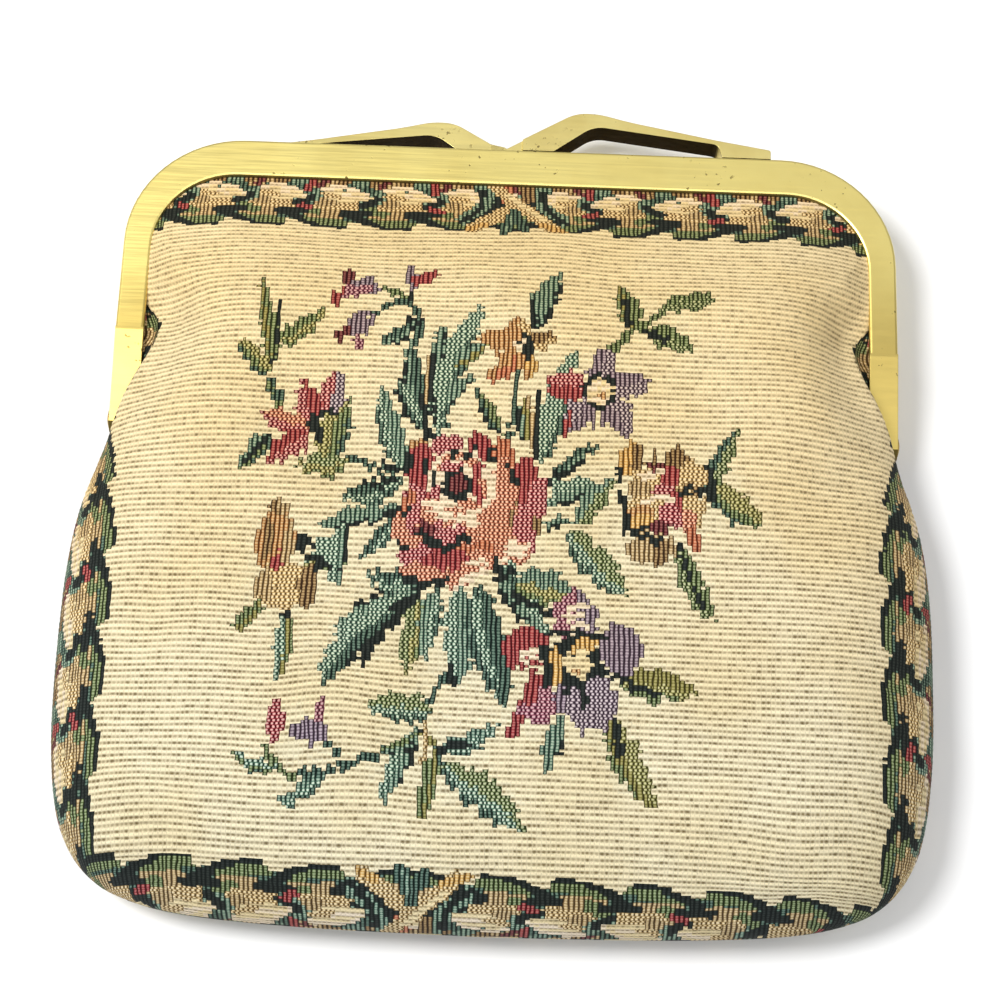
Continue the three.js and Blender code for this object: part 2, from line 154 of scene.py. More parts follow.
# Soft folds of the front panel: ridges and dents, long ways at an angle from upright
FOLDS = table("across below lean length width depth", [
    (66, 34, -6, 20, 5, -1.3),
    (58, 66, 38, 30, 8, 1.2),
    (66, 78, 52, 22, 6, -1.0),
    (20, 30, 12, 22, 9, -0.7),
])


# Panel surfaces

def smooth(low, high, value):
    """A soft step, 0 at low and 1 at high."""
    share = np.clip((value - low) / (high - low), 0, 1)
    return share * share * (3 - 2 * share)


def lerp(low, high, share):
    return low + (high - low) * share


def spline(points, steps):
    """A curve through points, with a number of steps between each two."""
    ends = np.vstack([points[:1], points, points[-1:]])
    t = (np.arange(steps) / steps)[:, None]
    pieces = []
    for before, start, end, after in zip(ends, ends[1:], ends[2:], ends[3:]):
        leave, arrive = (end - before) / 2, (after - start) / 2
        cubic = (2 * start - 2 * end + leave + arrive) * t ** 3
        pieces.append(cubic + (3 * end - 3 * start - 2 * leave - arrive) * t ** 2 + leave * t + start)
    return np.vstack([*pieces, points[-1:]])


def run_length(*axes):
    """Distance along a row of points from its first."""
    steps = sum(np.diff(axis) ** 2 for axis in axes)
    return np.r_[0, np.cumsum(np.sqrt(steps))]


def spaced(points, gap):
    """Points along a line at even distances."""
    run = run_length(*points.T)
    along = np.linspace(0, run[-1], int(np.ceil(run[-1] / gap)) + 1)
    return np.c_[np.interp(along, run, points[:, 0]), np.interp(along, run, points[:, 1])]


def right_edge(free_edge):
    """A panel's edge in plan, from the middle of the bar round to the middle of the bottom."""
    half = FRAME_INNER_HALF + TUCK
    top = BAR_TOP - BAR_BAND + TUCK
    radius = INNER_CORNER_RADIUS + TUCK
    turn = np.linspace(np.pi / 2, 0, CORNER_STEPS)
    corner = np.c_[half - radius + radius * np.cos(turn), top - radius + radius * np.sin(turn)]
    free = np.array([(row["half"], BAR_TOP - row["below"]) for row in free_edge], float)
    return spaced(np.vstack([[0, top], corner, spline(free, CURVE_STEPS)]), EDGE_STEP)


def sewn_share(y):
    """How far a stretch of edge is sewn (1) and not held by the frame (0)."""
    return smooth(*LEAVES_FRAME, BAR_TOP - y)


def front_edge_height(y):
    """The front panel's edge: in the channel, over the hinge ear, then at the seam."""
    below = BAR_TOP - y
    tucked = FRAME_FRONT - CHANNEL_SHEET - CHANNEL_CLEARANCE
    over_ear = FRAME_FRONT + CLOTH + 2 * CHANNEL_CLEARANCE
    rise = lerp(tucked, over_ear, smooth(*FRONT_OVER_EAR, below))
    return lerp(rise, SEAM_HEIGHT + SEAM_GAP / 2, smooth(*FRONT_TO_SEAM, below))


def back_edge_height(y):
    """The back panel's edge: in the channel, then at the seam."""
    tucked = CHANNEL_SHEET + CHANNEL_CLEARANCE
    return lerp(tucked, SEAM_HEIGHT - SEAM_GAP / 2, smooth(*BACK_TO_SEAM, BAR_TOP - y))


def front_slope_reach(y):
    """The front panel rises slowly from the bar and rolls up steeply from the legs."""
    return lerp(BAR_SLOPE_REACH, LEG_SLOPE_REACH, smooth(*SLOPE_STEEPENS, BAR_TOP - y))


def rise_share(inward, sewn, slope_reach, round_reach):
    """Rise of a panel from its edge, 0 to 1: a slope from the frame, a round from the seam."""
    from_frame = np.sin(np.clip((inward - TUCK - LEVEL_LIP) / slope_reach, 0, 1) * np.pi / 2)
    from_seam = np.sqrt(1 - (1 - np.clip(inward / round_reach, 0, 1)) ** SEAM_ROUND_POWER)
    return lerp(from_frame, from_seam, sewn)


def fold_height(x, y):
    """Height of the soft folds, the same on both sides of the purse."""
    height = np.zeros_like(x)
    for fold in FOLDS:
        for side in (-1, 1):
            dx = side * x - fold["across"]
            dy = BAR_TOP - fold["below"] - y
            lean = np.radians(fold["lean"])
            along = dy * np.cos(lean) - dx * np.sin(lean)
            across = dx * np.cos(lean) + dy * np.sin(lean)
            height += fold["depth"] * np.exp(-((along / fold["length"]) ** 2) - (across / fold["width"]) ** 2)
    return height


def inward_from(x, y, edge):
    """How far each place is from each stretch of a panel's edge."""
    step = np.diff(edge, axis=0)
    dx = x[:, None] - edge[:-1, 0]
    dy = y[:, None] - edge[:-1, 1]
    along = np.clip((dx * step[:, 0] + dy * step[:, 1]) / np.sum(step ** 2, axis=1), 0, 1)
    return np.hypot(dx - along * step[:, 0], dy - along * step[:, 1])


def front_height(x, y, edge):
    """The front panel hangs between its edge and its crown, as low as any stretch of its edge holds it."""
    edge_y = edge[:-1, 1]
    inward = inward_from(x, y, edge)
    share = rise_share(inward, sewn_share(edge_y), front_slope_reach(edge_y), SEAM_ROUND_REACH)
    height = np.min(lerp(front_edge_height(edge_y), CROWN_HEIGHT, share), axis=1)
    return height + fold_height(x, y) * np.min(share, axis=1)


def back_height(x, y, edge):
    """The back panel lies flat and turns up to its edge."""
    edge_y = edge[:-1, 1]
    inward = inward_from(x, y, edge)
    share = rise_share(inward, sewn_share(edge_y), BACK_ROUND_REACH, BACK_ROUND_REACH)
    return np.max(back_edge_height(edge_y) * (1 - share), axis=1)


# Tapestry chart

# A leaf's outline: how its width swells along it and how its barbs step in and out
LEAF_SWELL = 0.85
LEAF_ROUND = 0.75
BARB_PITCH = 4.2
BARB_LOW = 0.8
BARB_RISE = 0.42
# Its darker lower side and its vein, as shares of its width and length
SHADE_ASIDE = 0.6
SHADE_ALONG = 0.75
VEIN_ALONG = 0.8

# Ragged stitches: rows shift a block at a time, and each cell a little
RAGGED = 0.42
RAGGED_ROWS = 12
JITTER = 0.08

# Loose ground among the flowers: how far round a cell counts, and the share of ground there
LOOSE_ROWS = 8
LOOSE_COLUMNS = 6
LOOSE_BELOW = 0.62
LOOSE_JITTER = 0.06

# Painted light and shade at a motif's edge: the ground beside it lighter, the motif beside the ground darker
GROUND_PAINTED_LIGHT = 0.06
MOTIF_PAINTED_SHADE = 0.5

# How a weave sits: rib lines in painted shade, painted shadow in the gaps between warp columns, pale dots,
# the dots' shift in every second row, and relief
WEAVES = {
    "ground": (1.0, 0.0, 0.0, 0.0, 1.0),
    "float": (0.9, 0.0, 0.0, 0.0, 1.5),
    "columns": (0.0, 1.0, 0.7, 0.0, 0.5),
    "eyes": (0.0, 1.0, 1.0, 1.0, 0.4),
    "solid": (0.0, 0.5, 0.3, 0.0, 0.5),
}

# Yarns: the colour of each and of the pale stitches that cross it
THREADS = table("name yarn dot weave", [
    ("cream", "f7ebc6", "f7ebc6", "ground"),
    ("pale", "faead0", "faead0", "float"),
    ("straw", "f4e2b4", "f4e2b4", "float"),
    ("navy", "1d2422", "4a504c", "solid"),
    ("teal", "547a66", "d2e2cc", "eyes"),
    ("sea", "4c7060", "bccfb8", "columns"),
    ("pine", "2a433a", "7d9786", "columns"),
    ("green", "566a38", "c3caa2", "eyes"),
    ("moss", "4d6034", "b0bd92", "columns"),
    ("olive", "7c7c40", "d0cc98", "eyes"),
    ("khaki", "777438", "bab37a", "columns"),
    ("crimson", "98313a", "ecb8b2", "eyes"),
    ("red", "8e2a31", "cd827a", "columns"),
    ("wine", "5e2229", "9c6864", "columns"),
    ("salmon", "b8684c", "f6c8ac", "eyes"),
    ("coral", "b35f40", "e3aa88", "columns"),
    ("orange", "ae7740", "eccfa0", "columns"),
    ("tan", "a28758", "ecd8ae", "columns"),
    ("sand", "c4a468", "f5e2b8", "eyes"),
    ("gold", "cd9c4c", "f2daa4", "columns"),
    ("plum", "6a596a", "cabcc6", "columns"),
    ("lilac", "685767", "d6cacf", "eyes"),
    ("mauve", "8a4459", "dcb4b8", "eyes"),
    ("brown", "6c5234", "caae7e", "columns"),
    ("loose", "f3eac8", "f3eac8", "float"),
])
THREAD_INDEX = {thread["name"]: k for k, thread in enumerate(THREADS)}
GROUND = [THREAD_INDEX["cream"], THREAD_INDEX["loose"]]

# The darker yarn along the lower side of a leaf
SHADED = {
    "teal": "pine", "sea": "navy", "pine": "navy", "green": "moss",
    "moss": "pine", "olive": "moss", "khaki": "moss",
}

# Columns of the motif tables, in millimetres of flat cloth and degrees. A row may leave out its last column.
# A leaf runs from base to tip, with half its width, how far it bends to its left, its two sides and its vein.
# A stroke runs from one place to another and may bend to its left. A patch is an ellipse that may be turned.
LEAF = "base_u base_v tip_u tip_v half bend left right vein"
STROKE = "from_u from_v to_u to_v width thread bend"
PATCH = "u v half_u half_v thread turn"

# Leaves of the bouquet
LEAVES = table(LEAF, [
    # left side of the bouquet
    (-46.5, 50, -50, 31, 1.7, 0, "khaki", "moss"),
    (-46, 46.5, -36.5, 38, 2.1, -0.6, "moss", "olive"),
    (-46, 53, -54, 45, 1.9, 0.5, "moss", "olive"),
    (-43.5, 61, -47.5, 53.5, 1.3, 0, "moss", "pine"),
    (-34, 72, -30.5, 57.5, 3.4, 1.2, "olive", "moss"),
    (-30, 71, -41, 72, 2.2, 1, "olive", "green"),
    (-46, 66, -52, 74, 1.9, 0.4, "moss", "sea", "navy"),
    (-31, 86, -37.5, 92.5, 3.4, 1.6, "olive", "teal"),
    (-30, 83.5, -31, 97.5, 2, -0.8, "sea", "teal"),
    (-40, 102, -41.5, 116, 1.8, 0.6, "khaki", "teal"),
    (-44, 100, -51, 106, 1.6, 0.4, "khaki", "moss"),
    (-31, 134.5, -41, 139.5, 1.5, 0.5, "teal", "sea"),
    (-40, 133, -49, 130, 1.5, 0.8, "moss", "teal"),
    # bud spray
    (-18, 40.5, -25, 45.8, 1.8, 0.4, "sea", "pine"),
    # upright leaf over the rose
    (-12, 66, -4.3, 35.2, 2.9, 2.8, "teal", "teal"),
    (-10, 50.5, -3.6, 44.8, 1.7, 0.5, "sea", "khaki"),
    (-10.5, 58, -5.6, 52, 1.6, 0.6, "sea", "sea"),
    (-13.2, 50, -12.8, 40.3, 1.3, 0, "sea", "sea"),
    (-15.5, 65, -18.8, 44.5, 2.3, 0.6, "sea", "pine"),
    (-16, 63, -20.8, 53.4, 1.8, 0.6, "pine", "teal"),
    # left of the rose
    (-19, 73, -24, 55, 2.5, 0.9, "teal", "sea"),
    (-19, 74.3, -31.5, 78.8, 2.4, 1, "teal", "pine"),
    (-18, 81.5, -36.5, 85.4, 2, -1.2, "sea", "sea"),
    (-17.5, 83, -27, 91.5, 2, -0.8, "teal", "pine"),
    # under the rose
    (-14, 95.5, -26, 94, 2.2, 1, "teal", "pine"),
    (-15, 97, -31, 105, 2.6, 0.6, "teal", "sea"),
    (-15, 98, -33, 119, 3.6, -2.6, "pine", "teal"),
    (-15, 98.5, -17.3, 114.5, 2.2, 0.3, "olive", "green"),
    (-11.5, 96.5, -13.4, 112, 2.1, -0.4, "teal", "sea"),
    (-7, 96, -7, 116, 2.9, 0, "sea", "teal"),
    (-3.5, 95.5, 2.8, 121, 3.4, -1, "pine", "teal"),
    (0.3, 90, 10, 104.2, 3, -1, "teal", "sea"),
    (3, 94.5, 15.8, 98.5, 3.4, 1, "sea", "olive"),
    # right of the rose and over it
    (5.6, 41.8, 10.3, 26.8, 2.6, 0.2, "sea", "sea"),
    (0.5, 65, -5.2, 54.3, 1.5, 0.3, "pine", "moss"),
    (4.4, 66, 4, 56.5, 1.3, 0, "sea", "khaki"),
    (7.6, 70.5, 14.2, 45.5, 2.9, 0.8, "teal", "teal"),
    (10, 73.6, 19.8, 65.2, 1.5, 0.4, "pine", "sea"),
    (9.2, 78, 18.5, 74.5, 2.7, 0.5, "teal", "sea"),
    (7.5, 83, 15.5, 82, 1.2, 0.3, "sea", "pine"),
    (15, 83.5, 22.3, 72.5, 2.5, 0.5, "sea", "green"),
    (13.5, 84, 26, 97.5, 3, -0.8, "green", "teal"),
    # sprig at the upper right
    (25.2, 40.6, 22.4, 29.4, 2.5, -0.4, "khaki", "moss"),
    (30.8, 35.4, 42.4, 32.8, 2.3, 0.9, "moss", "green"),
    (27.6, 40.6, 37.4, 44.8, 2.7, 0.6, "moss", "green"),
    # leaves of the right flower
    (40.2, 77, 46.2, 61.8, 2.1, 0.9, "pine", "green"),
    (39.5, 75, 51, 82, 2.8, 0.8, "olive", "moss"),
    (35, 86, 42.3, 101.5, 2.2, -1.2, "moss", "green", "navy"),
    # leaves of the pansy
    (23.3, 114, 39.3, 116, 3, 0.4, "khaki", "olive"),
    (13.3, 121, 10.8, 133, 1.9, -0.5, "sea", "sea"),
    (22, 121.5, 32, 138.8, 2.9, -0.6, "olive", "khaki"),
    # spray at the bottom
    (-11, 121, -24.2, 121.6, 2.9, -0.5, "teal", "green"),
    (-13.2, 124, -20.4, 139.8, 2, -0.6, "sea", "teal"),
    (-14, 126, -21, 130.5, 1.3, 0.3, "sea", "moss"),
    (-10.6, 129, -13.6, 142.4, 1.7, 0.5, "khaki", "moss"),
    (-10, 129.3, 1.6, 123.6, 1.9, -0.6, "sea", "teal"),
    (-9, 131.5, 7, 143.6, 3.1, 0.8, "green", "teal"),
])

# Stems, painted before the leaves
STEMS = table(STROKE, [
    (-26.5, 32, -19.5, 35.6, 1.6, "moss", 0.3),
    (-19.6, 31.5, -19.4, 36, 1.1, "navy"),
    (-27, 39.8, -20.5, 35.3, 1.4, "pine", 0.6),
    (-20, 35.5, -17.6, 45, 1.5, "pine", 1.2),
    (-46.3, 37, -46.8, 52, 1, "navy", 0.4),
    (-38.4, 99, -41, 107, 1.2, "navy", -0.4),
    (-30, 71, -20.5, 73, 1.6, "pine", -0.4),
    (-42.5, 129, -36, 134.3, 1.5, "moss", -1.2),
    (-36, 134.3, -20, 130, 1.5, "pine", -1),
    (-31, 129, -27.5, 132.5, 1.2, "pine", 0.3),
    (2.4, 47.5, 1.6, 66, 0.95, "pine", 0.3),
    (26.8, 39.5, 20, 47.5, 1.9, "moss", -0.5),
    (31.4, 35.3, 26, 40.4, 1.6, "moss", 0.3),
    (-9, 113.5, -12.8, 122, 1.5, "pine", -0.4),
    (-12.2, 121, -12.6, 131, 1.4, "sand", 0.2),
    (-13.2, 125.5, -9.6, 130, 1.2, "khaki", 0.4),
    (-10.4, 129, -8.4, 132.5, 1.2, "pine"),
])

# Lines over the leaves
VEINS = table(STROKE, [
    (-15.3, 47.5, -14.8, 62.5, 1, "tan"),
    (-14.3, 48, -13.6, 66, 1, "navy", 0.2),
    (-16.2, 57, -14.6, 66.5, 1.3, "navy", 0.3),
    (-13, 95.5, -20.5, 100.5, 1.4, "navy", 0.6),
    (-17, 100, -25, 112.8, 1.5, "navy", -0.8),
    (-22, 97.5, -27, 100.5, 1, "navy"),
    (0.4, 91, 3.6, 97, 1.4, "pine", 0.4),
    (3.5, 97, 10.5, 100.4, 1.2, "navy", -0.3),
    (5.2, 56, 6.3, 68, 0.95, "tan"),
    (6.4, 55, 6.8, 69, 1, "navy", 0.3),
    (9.6, 73.6, 13.5, 71.8, 1.6, "navy", 0.2),
    (26, 115, 31, 116.2, 1.3, "navy", 0.2),
    (23.2, 122, 24.6, 128.5, 1.5, "navy"),
    (-9.3, 129, -4.8, 127.3, 1.6, "navy", 0.3),
    (40, 70.5, 41.2, 76.5, 1.5, "navy"),
    (28, 41, 31.6, 42.4, 1.6, "navy", 0.1),
    (23.6, 33, 24.6, 40, 1, "navy"),
    (5.4, 41.5, 5.4, 35, 1, "navy"),
    (-19.5, 39.8, -17.3, 40.6, 1.4, "navy"),
    (-8.6, 112, -8.2, 115, 1.5, "navy"),
    (-24, 71.8, -20, 73, 1.2, "navy"),
    (-20.8, 75, -26.5, 75.2, 1, "navy", 0.4),
    (-19, 81.6, -23, 82.4, 1.2, "navy"),
    (-2, 112, 1.6, 119.5, 0.9, "pine"),
    (-36, 93, -32.5, 92.5, 1.5, "navy"),
    (-38, 88, -36, 88, 1.6, "navy"),
])

# Round petals and eyes, painted in this order
PATCHES = table(PATCH, [
    # eye of the purple star
    (18.7, 54.7, 3.6, 3.7, "navy"),
    (18.9, 54.8, 2.6, 2.6, "straw"),
    (19.5, 55.2, 0.9, 1.5, "orange"),
    # crimson and purple buds
    (-32.4, 29.8, 1.6, 2.2, "wine"),
    (-28.8, 32.1, 3.2, 2.6, "plum", 20),
    (-31, 33.6, 3.8, 1.9, "mauve", -10),
    (-34.4, 34.9, 1.1, 2.6, "red", 22),
    (-19.8, 29.4, 1.4, 3.4, "plum", -8),
    (-17, 29.4, 3.2, 1.7, "red", -28),
    (-29.3, 41.6, 3.6, 2.2, "plum", -38),
    (-32.4, 43.8, 2.2, 1.3, "wine", -25),
    (-29.4, 46, 1.1, 1.9, "mauve"),
    # buds at the lower left
    (-41, 124, 1.6, 4, "crimson"),
    (-34.4, 126.4, 3.8, 2.4, "plum", 18),
    (-32.6, 122.6, 0.8, 2.8, "mauve"),
    # tan flower at the left
    (-43.4, 88.2, 4.2, 5.6, "orange"),
    (-44.6, 88, 1, 4, "brown"),
    (-40.7, 88.8, 1.2, 4.4, "tan"),
    (-40.8, 96.8, 6, 4.6, "sand", -10),
    (-36.2, 97, 1.7, 4.4, "brown"),
    (-44.4, 97, 2.2, 3.2, "tan"),
    (-42.4, 91.6, 1, 2, "red"),
    # flower at the right
    (25.2, 69.4, 2.4, 3.8, "gold"),
    (26.4, 70, 1.3, 4, "brown"),
    (29.6, 68.6, 0.7, 2.4, "brown"),
    (34.3, 68.6, 2.2, 2.4, "brown"),
    (36.6, 72.6, 3.4, 2.9, "sand"),
    (36, 75.6, 2.8, 1.2, "brown"),
    (37.6, 79.2, 2.6, 2.8, "sand"),
    (36.6, 81.6, 1.8, 2.2, "salmon"),
    (37.7, 85.2, 1.2, 2.8, "coral", -12),
    (28.6, 74.8, 3.7, 3.6, "sand"),
    (27.6, 75.6, 2.8, 1.7, "tan"),
    (28.4, 80, 4.2, 3.4, "sand"),
    (27.4, 80.2, 2.8, 1.5, "orange"),
    (27.4, 82.2, 2.6, 1.9, "gold"),
    (29.6, 87.6, 4.9, 3.2, "tan"),
    (31.6, 88, 1.6, 3, "brown"),
    (30.6, 70.6, 2.1, 1, "wine"),
    (32.8, 72.6, 1.7, 2.9, "red"),
    (31.6, 75.7, 2.5, 1.4, "crimson"),
    (34.2, 77.8, 1.6, 2.2, "red"),
    (33.2, 81, 2.6, 2.6, "crimson"),
    (31.2, 83.3, 2.4, 1.1, "wine"),
    # pansy
    (5.6, 107.6, 4.6, 4.6, "red"),
    (9.3, 119.2, 2.3, 4.4, "mauve", 8),
    (24, 107.6, 3.9, 5, "plum", -8),
    (18.6, 118.8, 5, 5.6, "lilac"),
    (12.6, 117.4, 1.3, 3.4, "plum"),
    (15.2, 110.2, 5.2, 5, "navy"),
    (11.4, 111.4, 1.3, 4, "gold"),
    (17.2, 106.6, 2.6, 1.6, "gold"),
    (16, 110.2, 2.9, 2.8, "straw"),
    (15.2, 111.8, 0.9, 0.6, "orange"),
])

# Pointed petals, painted before the round ones
PETALS = table(LEAF, [
    # orange star
    (2.8, 45, 2.2, 38.6, 2.1, 0, "orange", "sand"),
    (3.8, 45, 10.6, 43.4, 2, 0.3, "brown", "sand"),
    (2, 45.4, -6, 43.2, 2.4, 0, "orange", "orange"),
    (2, 46, -3.4, 53.2, 2.2, 0.4, "coral", "orange"),
    (3.4, 46.4, 4.6, 52.2, 2.1, 0, "gold", "orange"),
    # purple star
    (18.8, 54.4, 20.1, 45.2, 3, 0, "plum", "lilac"),
    (20, 55, 28.8, 52.6, 2.9, 0.5, "plum", "lilac"),
    (20, 56.6, 24.8, 64.6, 2.8, 0.4, "lilac", "plum"),
    (18, 56.6, 12.4, 63.6, 2.9, -0.3, "plum", "lilac"),
    (16.6, 54.4, 8, 53, 3.1, 0, "red", "crimson"),
    # crimson and purple flower at the left
    (-34.6, 62, -33.6, 51.8, 2.5, 0, "crimson", "lilac"),
    (-37.6, 63.6, -40, 53.8, 2.5, 0, "crimson", "red"),
    (-38, 64.4, -48, 61.4, 2.6, 0.4, "crimson", "salmon"),
    (-38.4, 65, -46.4, 72.4, 2.7, 0, "crimson", "red"),
    # tan flower's spike, and the top of the pansy
    (-42.6, 86, -43.4, 79, 1.7, 0, "brown", "tan"),
    (15.4, 107, 15.8, 95.4, 4.4, 0.3, "mauve", "plum"),
])

# Pale and dark strokes over the smaller flowers
ACCENTS = table(STROKE, [
    (3.4, 44.2, 3.6, 47, 2.4, "navy", 0.5),
    (1.2, 45.4, 3, 44.8, 1.2, "pale"),
    (16.8, 54, 20.6, 53.4, 1.2, "pale"),
    (17.4, 56.6, 20, 56.4, 1.2, "pale"),
    (13, 60, 12.2, 64, 1.2, "red"),
    (-37.6, 63, -36.4, 66, 2.6, "navy"),
    (-35.4, 61, -33.2, 61.6, 1.3, "navy"),
    (-38.4, 87, -38.2, 89.4, 1.4, "navy"),
    (-36.6, 91, -34, 91.4, 1.4, "navy"),
    (27.4, 72.8, 31.2, 71.8, 1.2, "pale", 0.2),
    (28, 78.2, 33, 77.4, 1.3, "pale", 0.2),
    (23.4, 76.6, 24.4, 84, 1.7, "navy", 0.4),
    (26, 84.4, 28, 84.2, 1.4, "navy", 0.3),
    (28, 85.8, 31, 85.8, 1.6, "navy", 0.4),
    (22.8, 70.6, 23, 73.6, 1.2, "navy"),
    (35.4, 76, 40.4, 75.2, 1.2, "navy"),
    (14.2, 99.8, 17.2, 99.4, 1.2, "pale"),
    (13.6, 101.6, 16.4, 101.2, 1.2, "pale"),
    (15.2, 103.2, 17.6, 103, 1.2, "pale"),
    (5, 108.6, 9.6, 108.2, 1.2, "pale"),
    (5.2, 110.2, 8.6, 109.8, 1.2, "pale"),
    (7.6, 113.6, 3.9, 124.6, 2.8, "red", 0.3),
    (5.6, 120.6, 8.6, 119.8, 2.2, "mauve"),
    (9.2, 104.6, 20.6, 105.2, 1.3, "navy", 0.5),
    (8.9, 107.6, 9.8, 115.2, 1.7, "navy", 0.3),
    (18.4, 108.6, 21, 112.6, 1.4, "navy"),
    (20.2, 112.8, 26, 113.6, 1.4, "navy"),
    (13.6, 113.2, 13.8, 116.6, 1.4, "navy"),
    (16, 113.8, 17.4, 118.6, 1.2, "navy"),
])

# The rose, in millimetres from its eye, painted in this order
ROSE_EYE = (-8.6, 75.6)
ROSE = table(PATCH, [
    # outer petals
    (-2, -8.4, 3.2, 2.4, "crimson", -8),
    (4.4, -9, 2.4, 2.7, "red", 10),
    (9, -7, 2.1, 3.3, "coral", -10),
    (-7.8, -7.9, 2, 1.5, "orange", 20),
    (-7.2, -3.4, 3.2, 4.8, "red"),
    (-5.6, -1.4, 1.6, 5.4, "red"),
    (13.4, -0.8, 2.7, 5.8, "red", 4),
    (16.2, 1.8, 1.8, 4.4, "crimson"),
    (13.2, 8.6, 3.2, 5.8, "crimson", 6),
    (12.2, 12.6, 3.2, 2.8, "salmon", -10),
    (9, 3.6, 3, 10.2, "salmon", 2),
    (-8.4, 3.6, 2.5, 3.6, "crimson", 12),
    (-9.4, 4.4, 1.4, 2.6, "coral", 12),
    (-8, 9, 4.4, 4.2, "salmon", -20),
    (-6.4, 7.6, 3.4, 3.2, "crimson", -30),
    (-5.8, 15, 5.2, 2.6, "crimson", -12),
    (-6, 17.9, 4.8, 1.9, "salmon", -6),
    (3.3, 13.4, 4.4, 2.9, "coral", -8),
    (4.4, 15.6, 3.6, 2.4, "salmon", -30),
    (0.8, 17.8, 3.4, 3.2, "salmon"),
    (-1.6, 15.4, 4.4, 2, "red", -4),
    # inner bowl
    (0.6, 6.6, 7.6, 6.4, "salmon"),
    (-1.4, 9.2, 6.2, 3.9, "salmon"),
    (-2.6, 10.2, 4.6, 2, "crimson"),
    (-5.6, 9.8, 2, 1.8, "wine"),
    # rings round the eye
    (1, -0.6, 6.8, 7, "pale"),
    (0.6, -0.4, 5.4, 6.4, "salmon"),
    (0, -0.2, 4.6, 5.3, "pale"),
    (-1.2, -3.9, 2.3, 1.1, "crimson", -8),
    (-4, 1.8, 1, 1.6, "crimson", 10),
    (1.8, 3.9, 2.6, 0.8, "salmon", -10),
    (0.2, 0, 3.1, 3.4, "navy"),
    (0.2, -0.7, 1.9, 2.1, "wine"),
])
# Pale, dark and red strokes over its petals
ROSE_STROKES = table(STROKE, [
    (4.9, -5.4, 4.9, 2.6, 1.5, "red", -1.2),
    (-6.4, 4, -3.2, 4.4, 1.2, "pale"),
    (-4.8, 5.6, -0.8, 6, 1.2, "pale"),
    (-3.4, 7.2, 3.8, 6.8, 1.2, "pale", 0.3),
    (0.2, 8.4, 4.6, 7.6, 1.2, "pale", 0.2),
    (10.4, 11, 14.4, 11.2, 1.2, "pale"),
    (10.2, 12.4, 13.2, 12.6, 1.2, "pale"),
    (9.4, 13.6, 11.4, 13.6, 1.2, "pale"),
    (3.2, 15.8, 6.6, 15.4, 1.3, "pale"),
    (3, 18.6, 5.8, 17.4, 1.2, "pale"),
    (1, 20.4, 3.8, 19.2, 1.2, "pale"),
    (-6.4, 10.4, 2.6, 11, 1.7, "navy", -2.3),
    (10.3, -4.6, 11.6, -0.6, 1.1, "navy", 0.3),
    (11.4, 3.4, 10.8, 7.4, 1, "brown", 0.2),
    (1.6, -6.6, 3.9, -8, 1.3, "navy"),
    (-1.2, -6.4, -0.4, -7.2, 1.1, "navy"),
    (6.6, -8.4, 6.9, -5.8, 1, "navy"),
    (-6.4, -5.2, -6.4, -2.4, 1, "navy"),
    (-9.8, -6.4, -10, -2.6, 1.3, "navy", 0.3),
    (-4.6, -2.6, -4.6, 0, 0.9, "navy"),
    (-11.4, 5.8, -9, 6.4, 1.2, "navy"),
    (-9.6, 19, -1.6, 19.6, 1.4, "navy", -1.2),
    (-11, 12.6, -9.6, 13.4, 1.2, "navy"),
    (8.2, 14.2, 8.8, 17.4, 1.6, "navy"),
    (9.4, 16.8, 11.6, 17.4, 1.2, "navy"),
    (15.4, 5.6, 16.4, 9, 1.2, "brown", 0.2),
])

# One repeat of the garland border, as strokes: U along it from its step, V out from the field's edge
GARLAND_PITCH = 13.0
GARLAND = table(STROKE, [
    # columns along the outer edge
    (-4.8, 13.8, -0.6, 15.4, 3.4, "sea"),
    (-4.4, 12.8, -2.2, 13.6, 1.2, "pine"),
    (2, 15.4, 8.8, 14.6, 2.6, "brown"),
    (4.6, 15, 8.4, 13.6, 1.8, "tan"),
    (6.2, 15.2, 7.6, 13.4, 1.4, "wine"),
    # foot, and the columns and eyes over it
    (0.8, 2, 9.4, 3.6, 4.2, "pine"),
    (0.8, 1.6, 5.6, 2, 2.4, "moss"),
    (5.6, 2, 9.2, 3.4, 1.6, "moss"),
    (2.6, 5.2, 8.6, 5.4, 3.8, "tan"),
    (7, 5.2, 9.6, 6.4, 2.4, "moss"),
    (-3.4, 5.2, 2, 5, 1.9, "navy"),
    (-1.6, 3.4, 1.4, 3.2, 1.3, "pine"),
    (-0.4, 7.6, 6.8, 7.6, 3, "sand"),
    (5.4, 8.4, 8.2, 9.6, 3.4, "tan"),
    (7.8, 10.6, 10.6, 8.6, 3.2, "sea", 0.3),
    (8.6, 9.8, 11.2, 7.6, 2.2, "navy", 0.2),
    # pale feather
    (0.4, 10.4, 4.8, 11.2, 3.4, "straw"),
    (-2.8, 10.2, 6.6, 12.6, 1.3, "pale", -1.7),
    (-2.8, 10, 5.4, 11.4, 1.2, "straw", -1.1),
    (-2.8, 9.8, 4.4, 10.4, 1.2, "pale", -0.6),
    (-2.4, 9.5, 3.4, 9.3, 1.2, "straw", -0.1),
    (3, 10.2, 6, 10.8, 1.6, "sand"),
    # dark stairs along the field
    (1, 0.2, 7.4, 0.5, 1.3, "navy"),
    (7.2, 0.7, 10.2, 2.2, 1.7, "navy"),
    (10, 2.2, 13.2, 4.4, 2, "navy"),
])
# Red stitches that only every second repeat has
GARLAND_RED = table(STROKE, [
    (9, 14.8, 9.6, 12.4, 1.9, "red"),
    (8.8, 6.4, 10.6, 7, 1.8, "red"),
])
# The ground's edge under one repeat: a scallop that drops at the step and climbs with the foot
SCALLOP_ALONG = [0, 1.2, 7, 13]
SCALLOP_DEPTH = [2.4, -0.2, 0.2, 2.4]

